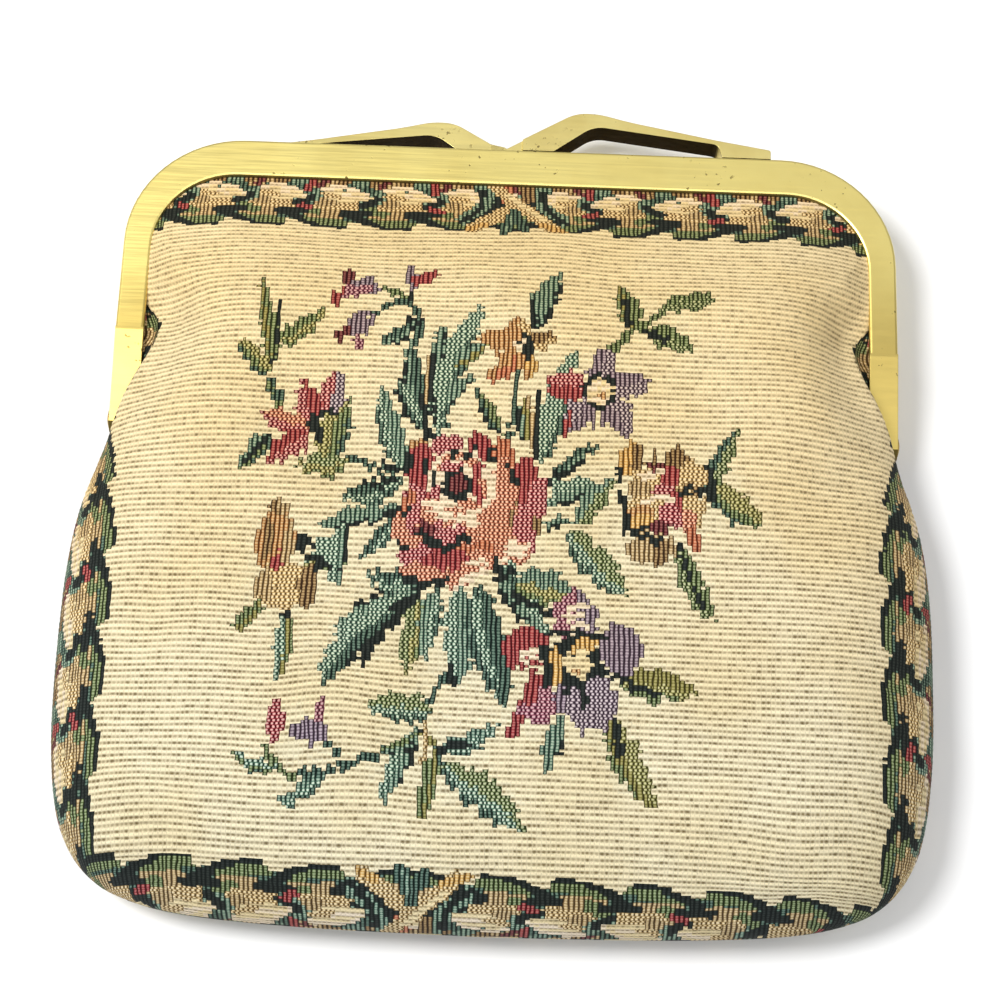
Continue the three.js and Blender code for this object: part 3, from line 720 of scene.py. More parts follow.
# The middle of the top and bottom borders, on the same axes: what both its sides have, and crossed ribbons
BESIDE_RIBBONS = table(STROKE, [
    (4.4, 16.4, 9.8, 4.2, 4.8, "sea", 2),
    (2.8, 15.4, 8.6, 3, 2.2, "navy", 2.2),
    (6.4, 13.4, 11.4, 3.2, 1.3, "navy", 1.6),
])
RIBBONS = table(STROKE, [
    (2.6, 16.4, 3.2, 11.4, 2.8, "brown"),
    (-0.6, 16.4, -1.4, 10.4, 2.4, "coral"),
    (1, 9.2, -8.6, 1.2, 3.4, "sand"),
    (-6, 2.6, -9.4, 0.8, 1.8, "gold"),
    (-4.8, 16.6, 1, 9, 3, "sand"),
    (-1.6, 12.4, 8.6, 1, 3.2, "sand"),
    (-1, 12.6, 6.4, 4.4, 1.2, "straw", 0.2),
    (6, 2.4, 10.4, 0.7, 1.8, "gold"),
    (0.2, 6.4, -1.6, 0.4, 2.9, "pine"),
    (0.4, 5.6, 2.8, 0.4, 2.2, "pine"),
    (-0.2, 5, -1.2, 0.6, 1, "sea"),
])

# The borders: where their repeats start, how long each is, and the field's edge
TOP_BORDER = {"middle": 0.0, "start": 7.0, "pitch": 13.0, "edge": 15.2, "slope": 0.0}
BOTTOM_BORDER = {"middle": -14.5, "start": 11.5, "pitch": 14.4, "edge": 151.6, "slope": 0.03}
SIDE_BORDER = {"start": 135.5, "pitch": 15.0}
SIDE_EDGE_V = [0, 24, 30, 34, 38, 43, 48, 53, 58, 62, 66, 70, 77, 90, 175]
SIDE_EDGE_U = [88, 84, 80.6, 78.4, 76.3, 76.2, 78.4, 81.2, 82.6, 81.4, 79.6, 78, 75.6, 74.6, 74.6]


def cell_centres():
    """U and V of the middle of every weave cell."""
    u = (np.arange(-COLUMNS_EACH_SIDE, COLUMNS_EACH_SIDE) + 0.5) * WARP_PITCH
    v = (np.arange(-ROWS_ABOVE_BAR, ROWS_BELOW_BAR) + 0.5) * WEFT_PITCH
    return np.meshgrid(u, v)


def curve(start, end, bend, steps=28):
    """Points on a curve between two places, bulging to its left by bend."""
    start, end = np.array(start, float), np.array(end, float)
    along = end - start
    left = np.array([along[1], -along[0]]) / np.hypot(*along)
    control = (start + end) / 2 + 2 * bend * left
    t = np.linspace(0, 1, steps)[:, None]
    return start * (1 - t) ** 2 + control * 2 * t * (1 - t) + end * t ** 2


def nearest(u, v, line):
    """How far along a line each cell's nearest point is, 0 to 1, and how far left of it the cell is."""
    du = u[..., None] - line[:, 0]
    dv = v[..., None] - line[:, 1]
    best = np.argmin(du * du + dv * dv, axis=-1)
    tangent = np.gradient(line, axis=0)[best]
    du = np.take_along_axis(du, best[..., None], -1)[..., 0]
    dv = np.take_along_axis(dv, best[..., None], -1)[..., 0]
    left = (du * tangent[..., 1] - dv * tangent[..., 0]) > 0
    return best / (len(line) - 1), np.hypot(du, dv) * np.where(left, 1, -1)


def paint_leaf(chart, u, v, row):
    line = curve((row["base_u"], row["base_v"]), (row["tip_u"], row["tip_v"]), row["bend"])
    along, aside = nearest(u, v, line)
    length = np.hypot(row["tip_u"] - row["base_u"], row["tip_v"] - row["base_v"])
    barb = along * max(1.0, length / BARB_PITCH) % 1
    swell = np.sin(np.pi * along ** LEAF_SWELL) ** LEAF_ROUND
    width = row["half"] * swell * (BARB_LOW + BARB_RISE * barb)
    inside = np.abs(aside) < width
    downward = np.sign(row["base_u"] - row["tip_u"])
    lower = (aside * downward > SHADE_ASIDE * width) & (along < SHADE_ALONG)
    for thread, side in ((row["left"], aside >= 0), (row["right"], aside < 0)):
        chart[inside & side] = THREAD_INDEX[thread]
        chart[inside & side & lower] = THREAD_INDEX[SHADED.get(thread, thread)]
    if "vein" in row:
        vein = inside & (np.abs(aside) < WARP_PITCH / 2) & (along < VEIN_ALONG)
        chart[vein] = THREAD_INDEX[row["vein"]]


def paint_line(chart, u, v, row):
    line = curve((row["from_u"], row["from_v"]), (row["to_u"], row["to_v"]), row.get("bend", 0))
    _, aside = nearest(u, v, line)
    chart[np.abs(aside) < row["width"] / 2] = THREAD_INDEX[row["thread"]]


def paint_patch(chart, u, v, row):
    turn = np.radians(row.get("turn", 0))
    du, dv = u - row["u"], v - row["v"]
    a = (du * np.cos(turn) + dv * np.sin(turn)) / row["half_u"]
    b = (dv * np.cos(turn) - du * np.sin(turn)) / row["half_v"]
    chart[a * a + b * b < 1] = THREAD_INDEX[row["thread"]]


def paint_garland(chart, along, depth, pitch):
    """Repeats of the garland outwards from its start. Each steps out from the field along its dark foot."""
    along = along * GARLAND_PITCH / pitch
    inside = depth > np.interp(along % GARLAND_PITCH, SCALLOP_ALONG, SCALLOP_DEPTH)
    first, last = (int(np.floor(limit(along[inside]) / GARLAND_PITCH)) for limit in (np.min, np.max))
    layer = np.full(chart.shape, THREAD_INDEX["pine"])
    for rows, every in ((GARLAND, 1), (GARLAND_RED, 2)):
        for row in rows:
            for repeat in range(first - 1, last + 2, every):
                paint_line(layer, along - repeat * GARLAND_PITCH, depth, row)
    chart[inside] = layer[inside]


def near_ground(chart, rows=1, columns=1):
    """The share of ground round each cell, as far as a number of rows and columns away."""
    ground = np.pad(np.isin(chart, GROUND), ((rows, rows), (columns, columns)), mode="edge")
    window = (2 * rows + 1, 2 * columns + 1)
    return np.lib.stride_tricks.sliding_window_view(ground, window).mean((2, 3))


def shading(chart):
    """Painted shade where a motif sinks under the ground beside it, painted light where that ground stands
    up.
    """
    near = near_ground(chart)
    return np.where(np.isin(chart, GROUND), 1 + GROUND_PAINTED_LIGHT * (1 - near), 1 - MOTIF_PAINTED_SHADE * near)


def paint_bouquet(chart, u, v):
    middle = (0, 0)
    layers = (
        (paint_line, STEMS, middle), (paint_leaf, LEAVES, middle), (paint_line, VEINS, middle),
        (paint_leaf, PETALS, middle), (paint_patch, PATCHES, middle), (paint_line, ACCENTS, middle),
        (paint_patch, ROSE, ROSE_EYE), (paint_line, ROSE_STROKES, ROSE_EYE),
    )
    for paint, rows, (from_u, from_v) in layers:
        for row in rows:
            paint(chart, u - from_u, v - from_v, row)


def paint_borders(chart, u, v):
    side, top, bottom = SIDE_BORDER, TOP_BORDER, BOTTOM_BORDER
    side_depth = np.abs(u) - np.interp(v, SIDE_EDGE_V, SIDE_EDGE_U)
    paint_garland(chart, side["start"] - v, side_depth, side["pitch"])
    depths = (top["edge"] - v, v - bottom["edge"] - bottom["slope"] * u)
    for border, depth in zip((top, bottom), depths):
        along = u - border["middle"]
        paint_garland(chart, np.abs(along) - border["start"], depth, border["pitch"])
        for half in (along, -along):
            for row in BESIDE_RIBBONS:
                paint_line(chart, half, depth, row)
        for row in RIBBONS:
            paint_line(chart, along, depth, row)


def tapestry_chart():
    """The thread of every weave cell of a panel."""
    u, v = cell_centres()
    chart = np.full(u.shape, THREAD_INDEX["cream"])
    random = np.random.default_rng(CHART_SEED)
    blocks = random.normal(0, RAGGED, (len(u) // RAGGED_ROWS + 1, u.shape[1]))
    ragged = np.repeat(blocks, RAGGED_ROWS, axis=0)[:len(u)]
    ragged_v = v + ragged + random.normal(0, JITTER, u.shape)
    u = u + random.normal(0, JITTER, u.shape)
    paint_bouquet(chart, u, ragged_v)
    ground = near_ground(chart, LOOSE_ROWS, LOOSE_COLUMNS)
    crowded = ground + random.normal(0, LOOSE_JITTER, u.shape) < LOOSE_BELOW
    chart[crowded & (chart == THREAD_INDEX["cream"])] = THREAD_INDEX["loose"]
    paint_borders(chart, u, v)
    return chart


# Panel meshes

def cloth_rows(height, edge):
    """The weft rows of a panel: V and y of each, measured down the middle of the cloth to the seam."""
    top = BAR_TOP - BAR_BAND + TUCK
    bottom = BAR_TOP - BAG_DROP
    y = lerp(top, bottom, np.sin(np.linspace(0, np.pi / 2, DOWN_SAMPLES)))
    run = run_length(y, height(np.zeros_like(y), y, edge)) - TUCK
    v = np.arange(-ROWS_ABOVE_BAR, ROWS_BELOW_BAR + 1) * WEFT_PITCH
    v = np.r_[v[(v >= run[0]) & (v < run[-1] - LAST_ROW)], run[-1]]
    return v, np.interp(v, run, y)


def cloth_grid(height, edge_height, free_edge):
    """Places of the weave's crossings on a panel's right half, and the cloth's half width at each row.

    The grid's axes are row, column and (x, y, z); columns past the edge repeat the edge's place.
    """
    edge = right_edge(free_edge)
    foot = edge[:np.argmax(edge[:, 0]):-1]
    v, row_y = cloth_rows(height, edge)
    u = np.arange(COLUMNS_EACH_SIDE + 1) * WARP_PITCH
    grid = np.empty((len(v), len(u), 3))
    half_u = np.empty(len(v))
    spread = np.sin(np.linspace(0, np.pi / 2, ACROSS_SAMPLES))
    for row, middle in enumerate(row_y):
        bend = 1 - smooth(*FOOT_BEND, middle - foot[0, 1])
        end = middle + bend * (np.interp(FOOT_HALF, *foot.T) - foot[0, 1])
        x = np.interp(end, *edge[::-1, ::-1].T) * spread
        y = middle + bend * (np.interp(np.minimum(x, FOOT_HALF), *foot.T) - foot[0, 1])
        z = height(x, y, edge)
        z[-1] = edge_height(y[-1])
        run = run_length(x, y, z)
        half_u[row] = run[-1]
        grid[row] = np.stack([np.interp(u, run, axis) for axis in (x, y, z)], -1)
    return v, u, grid, half_u


def settle(grid, held):
    """Evens out the height between neighbours, so that no fold is sharper than the cloth allows."""
    for _ in range(SETTLE_ROUNDS):
        z = np.pad(grid[..., 2], ((1, 1), (1, 1)), mode="edge")
        z[1:-1, 0] = z[1:-1, 2]
        mean = (z[:-2, 1:-1] + z[2:, 1:-1] + z[1:-1, :-2] + z[1:-1, 2:]) / 4
        grid[..., 2] = np.where(held, grid[..., 2], lerp(grid[..., 2], mean, SETTLE_SHARE))


def unevenness(u, v, seed):
    """Shallow lumps and hollows of handled cloth."""
    random = np.random.default_rng(seed)
    height = np.zeros(np.broadcast(u, v).shape)
    for _ in range(LUMPS):
        at_u, at_v = random.uniform(*LUMP_U), random.uniform(*LUMP_V)
        long, wide = random.uniform(*LUMP_LENGTH), random.uniform(*LUMP_WIDTH)
        lean = random.uniform(0, np.pi)
        along = (u - at_u) * np.cos(lean) + (v - at_v) * np.sin(lean)
        across = (v - at_v) * np.cos(lean) - (u - at_u) * np.sin(lean)
        depth = random.uniform(-LUMP_DEPTH, LUMP_DEPTH)
        height += depth * np.exp(-((along / long) ** 2) - (across / wide) ** 2)
    return height


def normals(grid):
    """Which way the surface faces at each crossing: up where the columns meet past the edge."""
    down = np.gradient(grid, axis=0)
    across = np.gradient(grid, axis=1)
    normal = np.cross(down, across)
    length = np.linalg.norm(normal, axis=-1, keepdims=True)
    return np.where(length > TINY, normal / np.maximum(length, TINY), [0, 0, 1])


def turned_in(edge_row, side, pocket):
    """Strips of cloth that go on past a panel's edge: level into the bag at a seam, and on the front panel as
    the wall of the crease's pocket, down and out under the leg."""
    half, y, z = np.abs(edge_row[:, 0]), edge_row[:, 1], edge_row[:, 2]
    below = BAR_TOP - y
    crease = smooth(*POCKET_OPENS, below) * (1 - smooth(*POCKET_CLOSES, below)) * pocket
    out_x, out_y = -np.gradient(y), np.gradient(half)
    reach = HEM / np.maximum(np.hypot(out_x, out_y), TINY)
    for step in range(1, HEM_STEPS + 1):
        share = step / HEM_STEPS
        x = lerp(half - out_x * reach * share, lerp(half, POCKET_HALF, share ** 2), crease)
        down = lerp(y - out_y * reach * share, y, crease)
        height = lerp(z, lerp(z, POCKET_HEIGHT, 1 - (1 - share) ** 2), crease)
        yield np.c_[side * np.maximum(x, 0), down, height], share * lerp(HEM, POCKET, crease)


def from_edge(u, v, half_u, reach):
    """How far each crossing is from the seam, 0 to 1 over a reach."""
    return np.clip(np.minimum(half_u[:, None] - np.abs(u), v[-1] - v[:, None]) / reach, 0, 1)


def wander(shape, spread, seed):
    """Small sideways drift of threads, smooth along the first axis."""
    drift = np.random.default_rng(seed).normal(0, spread, shape)
    for step in range(1, len(drift)):
        drift[step] = DRIFT_KEPT * drift[step - 1] + DRIFT_NEW * drift[step]
    return drift


def relief(u, v, half_u, cells, facing):
    """How far each crossing stands out from the panel: the ribs of its weave, and the front's lumps."""
    inward = from_edge(u, v, half_u, LUMP_FADE)
    from_bar = np.clip((v + TUCK) / LUMP_FADE, 0, 1)[:, None]
    ribs = np.array([WEAVES[thread["weave"]][-1] for thread in THREADS])[cells]
    ribs = np.pad(ribs, ((0, 1), (0, 1)), mode="edge")
    crest = np.where(np.round(v / WEFT_PITCH) % 2 == 0, 0.0, -1.0)[:, None]
    ground = np.pad(near_ground(cells), ((0, 1), (0, 1)), mode="edge")
    out = (RIB_RELIEF * ribs * crest + PUFF * ground) * from_edge(u, v, half_u, RIB_FADE)
    if facing > 0:
        out = out + unevenness(u, v[:, None], LUMP_SEED) * inward * from_bar
    return out


def woven_grid(shape, facing, chart):
    """All the crossings of a panel with their relief and drift, and the V in the chart that colours each."""
    v, u_right, right_half, half_u = cloth_grid(*shape)
    held = u_right[None] > half_u[:, None] - WARP_PITCH
    held[[0, 1, -1]] = True
    settle(right_half, held)
    grid = np.concatenate([right_half[:, :0:-1] * [-1, 1, 1], right_half], axis=1)
    u = np.concatenate([-u_right[:0:-1], u_right])
    first = int(round(v[0] / WEFT_PITCH)) + ROWS_ABOVE_BAR
    cells = chart[first:first + len(v) - 1]
    drawn = np.interp(-grid[..., 1], -grid[:, COLUMNS_EACH_SIDE, 1], v)
    grid += normals(grid) * (relief(u, v, half_u, cells, facing) * facing)[..., None]
    loose = from_edge(u, v, half_u, DRIFT_FADE)
    warp_waves = WAVES * unevenness(u, v[:, None], WARP_WAVE_SEED)
    weft_waves = WAVES * unevenness(u, v[:, None], WEFT_WAVE_SEED)
    grid[..., 0] += (wander(loose.shape, WARP_DRIFT, WARP_SEED) + warp_waves) * loose
    grid[..., 1] += (wander(loose.T.shape, WEFT_DRIFT, WEFT_SEED).T + weft_waves) * loose
    return u, v, half_u, grid, drawn


def knit(u, v, half_u, grid, drawn, pocket):
    """A panel's vertices, their (U, V, drawn V) and its faces.

    First come the crossings inside the edge, then the edge and the turned in strips at each end of the rows,
    then the hem at the foot.
    """
    inner = np.abs(u)[None] < half_u[:, None] - WARP_PITCH / 4
    index = np.zeros(inner.shape, int)
    index[inner] = np.arange(inner.sum())
    places = [grid[inner]]
    flat = [np.stack(np.broadcast_arrays(u, v[:, None], drawn), -1)[inner]]
    faces = []
    count = len(places[0])
    sewn = BAR_TOP - grid[:, -1, 1] > POCKET_OPENS[0]
    for side, end in ((-1, 0), (1, -1)):
        strips = [(grid[:, end], 0.0), *turned_in(grid[:, end], side, pocket)]
        outside = ~inner & (u * side > 0)
        index[outside] = count + np.nonzero(outside)[0]
        for step, (strip, past) in enumerate(strips):
            places.append(strip)
            flat.append(np.c_[side * (half_u + past), v, drawn[:, end]])
            for row in np.nonzero(sewn[:-1])[0] if step else ():
                near, far = count + row - len(v), count + row
                quad = [near, near + 1, far + 1, far]
                faces.append(quad if side > 0 else quad[::-1])
            count += len(v)
    for row in range(len(v) - 1):
        corners = np.stack([index[row, :-1], index[row + 1, :-1], index[row + 1, 1:], index[row, 1:]], -1)
        rings = [list(dict.fromkeys(corner)) for corner in corners.tolist()]
        faces += [ring for ring in rings if len(ring) > 2]
    return hemmed(np.vstack(places), np.vstack(flat), faces, list(dict.fromkeys(index[-1].tolist())))


def hemmed(places, flat, faces, foot):
    """Adds the hem that is turned in level along the foot."""
    seam = np.array(foot)
    for _ in range(HEM_STEPS):
        hem = len(places) + np.arange(len(seam))
        places = np.vstack([places, places[seam] + [0, HEM / HEM_STEPS, 0]])
        flat = np.vstack([flat, flat[seam] + [0, HEM / HEM_STEPS, 0]])
        faces += np.stack([seam[:-1], hem[:-1], hem[1:], seam[1:]], -1).tolist()
        seam = hem
    return places, flat, faces


def lay_flat(mesh, flat):
    """The cloth's flat places as a UV map over the whole chart."""
    width = 2 * COLUMNS_EACH_SIDE * WARP_PITCH
    length = (ROWS_ABOVE_BAR + ROWS_BELOW_BAR) * WEFT_PITCH
    uv = np.c_[flat[:, 0] / width + 0.5, 1 - (flat[:, 1] + ROWS_ABOVE_BAR * WEFT_PITCH) / length]
    corners = np.empty(len(mesh.loops), int)
    mesh.loops.foreach_get("vertex_index", corners)
    layer = mesh.uv_layers.new(name="OFBake")
    layer.uv.foreach_set("vector", uv[corners].astype(np.float32).ravel())


def linear(colour):
    """A hex colour as linear red, green, blue and alpha."""
    share = np.array([int(colour[k:k + 2], 16) for k in (0, 2, 4)]) / 255
    return [*np.where(share <= 0.04045, share / 12.92, ((share + 0.055) / 1.055) ** 2.4), 1.0]


def colour_cells(mesh, threads, light):
    """Each face's yarn and dot colour, with painted light and shade at motif edges, and how its weave sits.
    """
    looks = {
        "yarn": [linear(thread["yarn"]) for thread in THREADS],
        "dot": [linear(thread["dot"]) for thread in THREADS],
        "weave": [WEAVES[thread["weave"]][:4] for thread in THREADS],
    }
    for name, values in looks.items():
        layer = mesh.attributes.new(name, "FLOAT_COLOR", "FACE")
        colours = np.array(values)[threads]
        if name != "weave":
            # light is the painted light and shade at motif edges, multiplied into the yarn and dot colours
            colours[:, :3] *= light[:, None]
        layer.data.foreach_set("color", colours.astype(np.float32).ravel())


def panel(name, shape, facing, chart):
    """A tapestry panel with its hem turned in, as one sheet. Facing is 1 for the front, -1 for the back."""
    places, flat, faces = knit(*woven_grid(shape, facing, chart), pocket=facing > 0)
    places[:, 0] *= facing
    mesh = bpy.data.meshes.new(name)
    mesh.from_pydata((places * MM).tolist(), [], faces)
    mesh.shade_smooth()
    lay_flat(mesh, flat)
    middles = np.array([flat[face].mean(0) for face in faces])
    column = np.floor(middles[:, 0] / WARP_PITCH).astype(int) + COLUMNS_EACH_SIDE
    row = np.floor(middles[:, 2] / WEFT_PITCH).astype(int) + ROWS_ABOVE_BAR
    cell = tuple(np.clip(axis, 0, size - 1) for axis, size in zip((row, column), chart.shape))
    colour_cells(mesh, chart[cell], shading(chart)[cell])
    sheet = bpy.data.objects.new(name, mesh)
    bpy.context.collection.objects.link(sheet)
    return sheet


# Materials

class Shader:
    """A node material made by short calls. A value is a number, a tuple or another node's socket."""

    def __init__(self, name):
        self.material = bpy.data.materials.new(name)
        self.material.use_nodes = True
        self.tree = self.material.node_tree
        self.surface = self.tree.nodes["Principled BSDF"]

    def feed(self, socket, value):
        if isinstance(value, bpy.types.NodeSocket):
            self.tree.links.new(value, socket)
        else:
            socket.default_value = value

    def add(self, kind, inputs=None, **settings):
        node = self.tree.nodes.new("ShaderNode" + kind)
        for name, value in settings.items():
            setattr(node, name, value)
        for socket, value in (inputs or {}).items():
            self.feed(node.inputs[socket], value)
        return node.outputs

    def set(self, **values):
        for name, value in values.items():
            self.feed(self.surface.inputs[name.replace("_", " ").title()], value)

    def math(self, operation, a, b=0.0, c=0.0):
        return self.add("Math", {0: a, 1: b, 2: c}, operation=operation)[0]

    def ramp(self, value, low, high, to_low=0.0, to_high=1.0):
        ends = {"Value": value, "From Min": low, "From Max": high, "To Min": to_low, "To Max": to_high}
        return self.add("MapRange", ends, interpolation_type="SMOOTHSTEP")[0]

    def mix(self, share, a, b, blend="MIX"):
        return self.add("Mix", {0: share, 6: a, 7: b}, data_type="RGBA", blend_type=blend)[2]

    def stretched(self, place, scale):
        return self.add("VectorMath", {0: place, 1: scale}, operation="MULTIPLY")[0]

    def noise(self, place, scale, detail=2.0, roughness=0.5):
        ends = {"Vector": place, "Scale": scale, "Detail": detail, "Roughness": roughness}
        return self.add("TexNoise", ends)[0]

    def grey(self, value):
        return self.add("CombineColor", {0: value, 1: value, 2: value})[0]

    def bump(self, height, strength, distance, normal=None):
        ends = {"Height": height, "Strength": strength, "Distance": distance}
        if normal:
            ends["Normal"] = normal
        self.set(normal=self.add("Bump", ends)[0])


# Colours of the cloth's painted shade, painted light and ageing, and of the brass's pits, darkening and
# painted shade
VALLEY_SHADE = (0.2, 0.15, 0.066, 1.0)
SPECK = (0.08, 0.055, 0.025, 1.0)
GAP_SHADOW = (0.13, 0.11, 0.12, 1.0)
FOOT_COOL_LIGHT = (0.875, 0.895, 0.945, 1.0)
BAR_WARM_LIGHT = (0.95, 0.845, 0.69, 1.0)
AGED = (0.93, 0.86, 0.7, 1.0)
PIT = (0.07, 0.045, 0.015, 1.0)
LEG_DARKENING = (0.72, 0.66, 0.55, 1.0)
UNDERSIDE_SHADE = (0.035, 0.022, 0.006, 1.0)

# Where the brass starts to get darker down the legs and is darkest, up the purse in metres
LEG_DARKER_SPAN = (0.064, 0.03)


def tapestry_material():
    """Woven cloth: a cell's yarn and weave come from its face, and the threads in it from its flat place."""
    s = Shader("tapestry_weave")
    place = s.add("UVMap", uv_map="OFBake")["UV"]
    rows = ROWS_ABOVE_BAR + ROWS_BELOW_BAR
    across, up = s.add("SeparateXYZ", {0: place})[:2]
    column = s.math("MULTIPLY", across, 2 * COLUMNS_EACH_SIDE)
    row = s.math("MULTIPLY_ADD", up, -rows, rows)
    flat = s.stretched(place, (2 * COLUMNS_EACH_SIDE * WARP_PITCH, rows * WEFT_PITCH, 1))
    yarn = s.add("Attribute", attribute_name="yarn")["Color"]
    dot = s.add("Attribute", attribute_name="dot")["Color"]
    weave = s.add("Attribute", attribute_name="weave")
    rib, gaps, dots = s.add("SeparateColor", {0: weave["Color"]})[:3]
    stagger = weave["Alpha"]

    # Fibre, yarn by yarn and over the whole cloth
    fibre = s.noise(flat, 3.4, 3.0, 0.6)
    slub = s.noise(s.stretched(flat, (0.09, 0.83, 1)), 1.0, 2.0)
    age = s.noise(flat, 0.03, 3.0)

    # Places in a cell: 0 at the middle of a dot, 1 halfway to the next; every second row of eyes is shifted
    uneven = s.math("MULTIPLY_ADD", s.math("SUBTRACT", fibre, 0.5), 0.5, row)
    odd = s.math("MODULO", s.math("FLOOR", row), 2.0)
    shifted = s.math("MULTIPLY_ADD", s.math("MULTIPLY", odd, stagger), 0.3, column)
    from_column = s.math("MULTIPLY_ADD", s.math("PINGPONG", shifted, 0.5), -2.0, 1.0)
    from_row = s.math("MULTIPLY_ADD", s.math("PINGPONG", uneven, 0.5), -2.0, 1.0)
    wide = s.math("POWER", s.math("MULTIPLY", from_column, 1.3), 2.0)
    reach = s.math("SQRT", s.math("ADD", wide, s.math("POWER", from_row, 2.0)))
    on_dot = s.math("MULTIPLY", s.ramp(reach, 1.02, 0.42), dots)
    broken = s.math("MULTIPLY_ADD", s.math("MULTIPLY", s.ramp(from_row, 0.45, 1.0), stagger), -0.5, 1.0)
    gap_shading = s.math("MULTIPLY", s.math("MULTIPLY", s.ramp(from_column, 0.4, 0.85), gaps), broken)

    # Ribs of the ground, with painted shade in the valleys between them, broken at each warp, and stray dark
    # fibres there
    rib_number = s.math("FLOOR", s.math("MULTIPLY", row, 0.5))
    cell = s.add("CombineXYZ", {0: s.math("FLOOR", column), 1: rib_number})[0]
    chance = s.add("TexWhiteNoise", {"Vector": cell}, noise_dimensions="2D")[0]
    valley = s.ramp(s.math("PINGPONG", uneven, 1.0), 0.14, 0.92)
    from_warp = s.math("MULTIPLY_ADD", s.math("PINGPONG", column, 0.5), -2.0, 1.0)
    shade_dashes = s.math("MULTIPLY", valley, s.ramp(from_warp, 1.0, 0.15, 0.6, 1.0))
    valley_shading = s.math("MULTIPLY", s.math("MAXIMUM", shade_dashes, s.ramp(from_warp, 0.5, 1.0, 0.0, 0.3)), rib)
    valley_shading = s.math("MULTIPLY", valley_shading, s.ramp(chance, 0.0, 0.9, 0.66, 1.0))
    speck = s.math("MULTIPLY", valley_shading, s.ramp(chance, 0.72, 1.0, 0.0, 0.32))
    twist = s.math("PINGPONG", s.math("MULTIPLY_ADD", column, 1.5, row), 0.5)

    colour = s.mix(on_dot, yarn, dot)
    # Painted shadow in the gaps between warp columns
    shadow = s.mix(1.0, yarn, GAP_SHADOW, "MULTIPLY")
    colour = s.mix(s.math("MULTIPLY", gap_shading, 0.95), colour, shadow)
    # Painted shade in the valleys between ribs, weaker towards the bar
    colour = s.mix(s.math("MULTIPLY", valley_shading, s.ramp(up, 0.3, 0.9, 1.0, 0.82)), colour, VALLEY_SHADE)
    colour = s.mix(speck, colour, SPECK)
    shade = s.math("ADD", s.ramp(slub, 0.25, 0.75, 0.43, 0.55), s.ramp(fibre, 0.25, 0.75, 0.36, 0.56))
    colour = s.mix(1.0, colour, s.grey(shade), "MULTIPLY")
    # Painted light: warm towards the bar and cool towards the foot
    painted_light_tint = s.mix(s.ramp(up, 0.05, 0.9), FOOT_COOL_LIGHT, BAR_WARM_LIGHT)
    colour = s.mix(1.0, colour, painted_light_tint, "MULTIPLY")
    colour = s.mix(s.ramp(age, 0.35, 0.65, 0.0, 0.55), colour, AGED, "MULTIPLY")

    height = s.math("SUBTRACT", s.math("MULTIPLY", on_dot, 0.6), s.math("MULTIPLY", gap_shading, 0.7))
    height = s.math("ADD", height, s.math("MULTIPLY", s.math("SUBTRACT", twist, valley), rib))
    height = s.math("MULTIPLY_ADD", fibre, 0.5, height)
    s.bump(height, 0.7, 0.00018)
    s.set(base_color=colour, roughness=0.88, sheen_weight=0.03, sheen_roughness=0.5)
    s.surface.inputs["Specular IOR Level"].default_value = 0.1
    return s.material


def brass_material(name, bright, shaded, roughness, under, pitted):
    """Brushed brass with small pits, tarnished in patches, darker down the legs, painted shade where it faces
    down the bag.
    """
    s = Shader(name)
    place = s.add("TexCoord")["Object"]
    facing = s.add("SeparateXYZ", {0: s.add("NewGeometry")["Normal"]})["Y"]
    brushed = s.noise(s.stretched(place, (60, 2600, 900)), 1.0, 3.0, 0.6)
    tarnish = s.noise(place, 55, 4.0, 0.6)
    spots = s.noise(place, 900, 2.0, 0.5)
    patches = s.noise(place, 120, 2.0)
    pits = s.math("MULTIPLY", s.ramp(spots, pitted, pitted + 0.06), s.ramp(patches, 0.5, 0.62))
    colour = s.mix(s.ramp(tarnish, 0.35, 0.7), bright, shaded)
    colour = s.mix(s.ramp(brushed, 0.35, 0.75, 0.0, 0.25), colour, shaded)
    colour = s.mix(s.math("MULTIPLY", pits, 0.8), colour, PIT)
    # Darker down the legs
    down_leg = s.ramp(s.add("SeparateXYZ", {0: place})["Y"], *LEG_DARKER_SPAN)
    colour = s.mix(down_leg, colour, s.mix(1.0, colour, LEG_DARKENING, "MULTIPLY"))
    # Painted shade where the brass faces down the bag, as strong as under says; it is also rougher there
    down_facing_shade = s.ramp(facing, -0.3, -0.8, 0.0, under)
    colour = s.mix(down_facing_shade, colour, UNDERSIDE_SHADE)
    rough = s.ramp(brushed, 0.3, 0.7, roughness - 0.05, roughness + 0.06)
    rough = s.math("MULTIPLY_ADD", pits, 0.3, rough)
    rough = s.math("MULTIPLY_ADD", down_facing_shade, 0.4, rough)
    edges = s.add("Bevel", {"Radius": 0.0002}, samples=4)[0]
    relief = s.math("SUBTRACT", s.math("MULTIPLY", brushed, 0.25), pits)
    s.bump(relief, 0.35, 0.00005, edges)
    s.set(base_color=colour, roughness=rough, metallic=1.0)
    return s.material


def floor_material():
    s = Shader("studio_floor")
    place = s.add("TexCoord")["Object"]
    colour = s.mix(s.noise(place, 3, 2.0), (0.86, 0.86, 0.86, 1), (0.9, 0.9, 0.9, 1))
    s.set(base_color=colour, roughness=0.7)
    return s.material


# Frame, clasp and rivets: the built solids with rounded shading

SHARP = np.radians(32)


def smoothed(node):
    """Shades a solid round except across its real edges."""
    group = bpy.data.node_groups.get("round_shading") or round_shading()
    node.modifiers.new("round_shading", "NODES").node_group = group


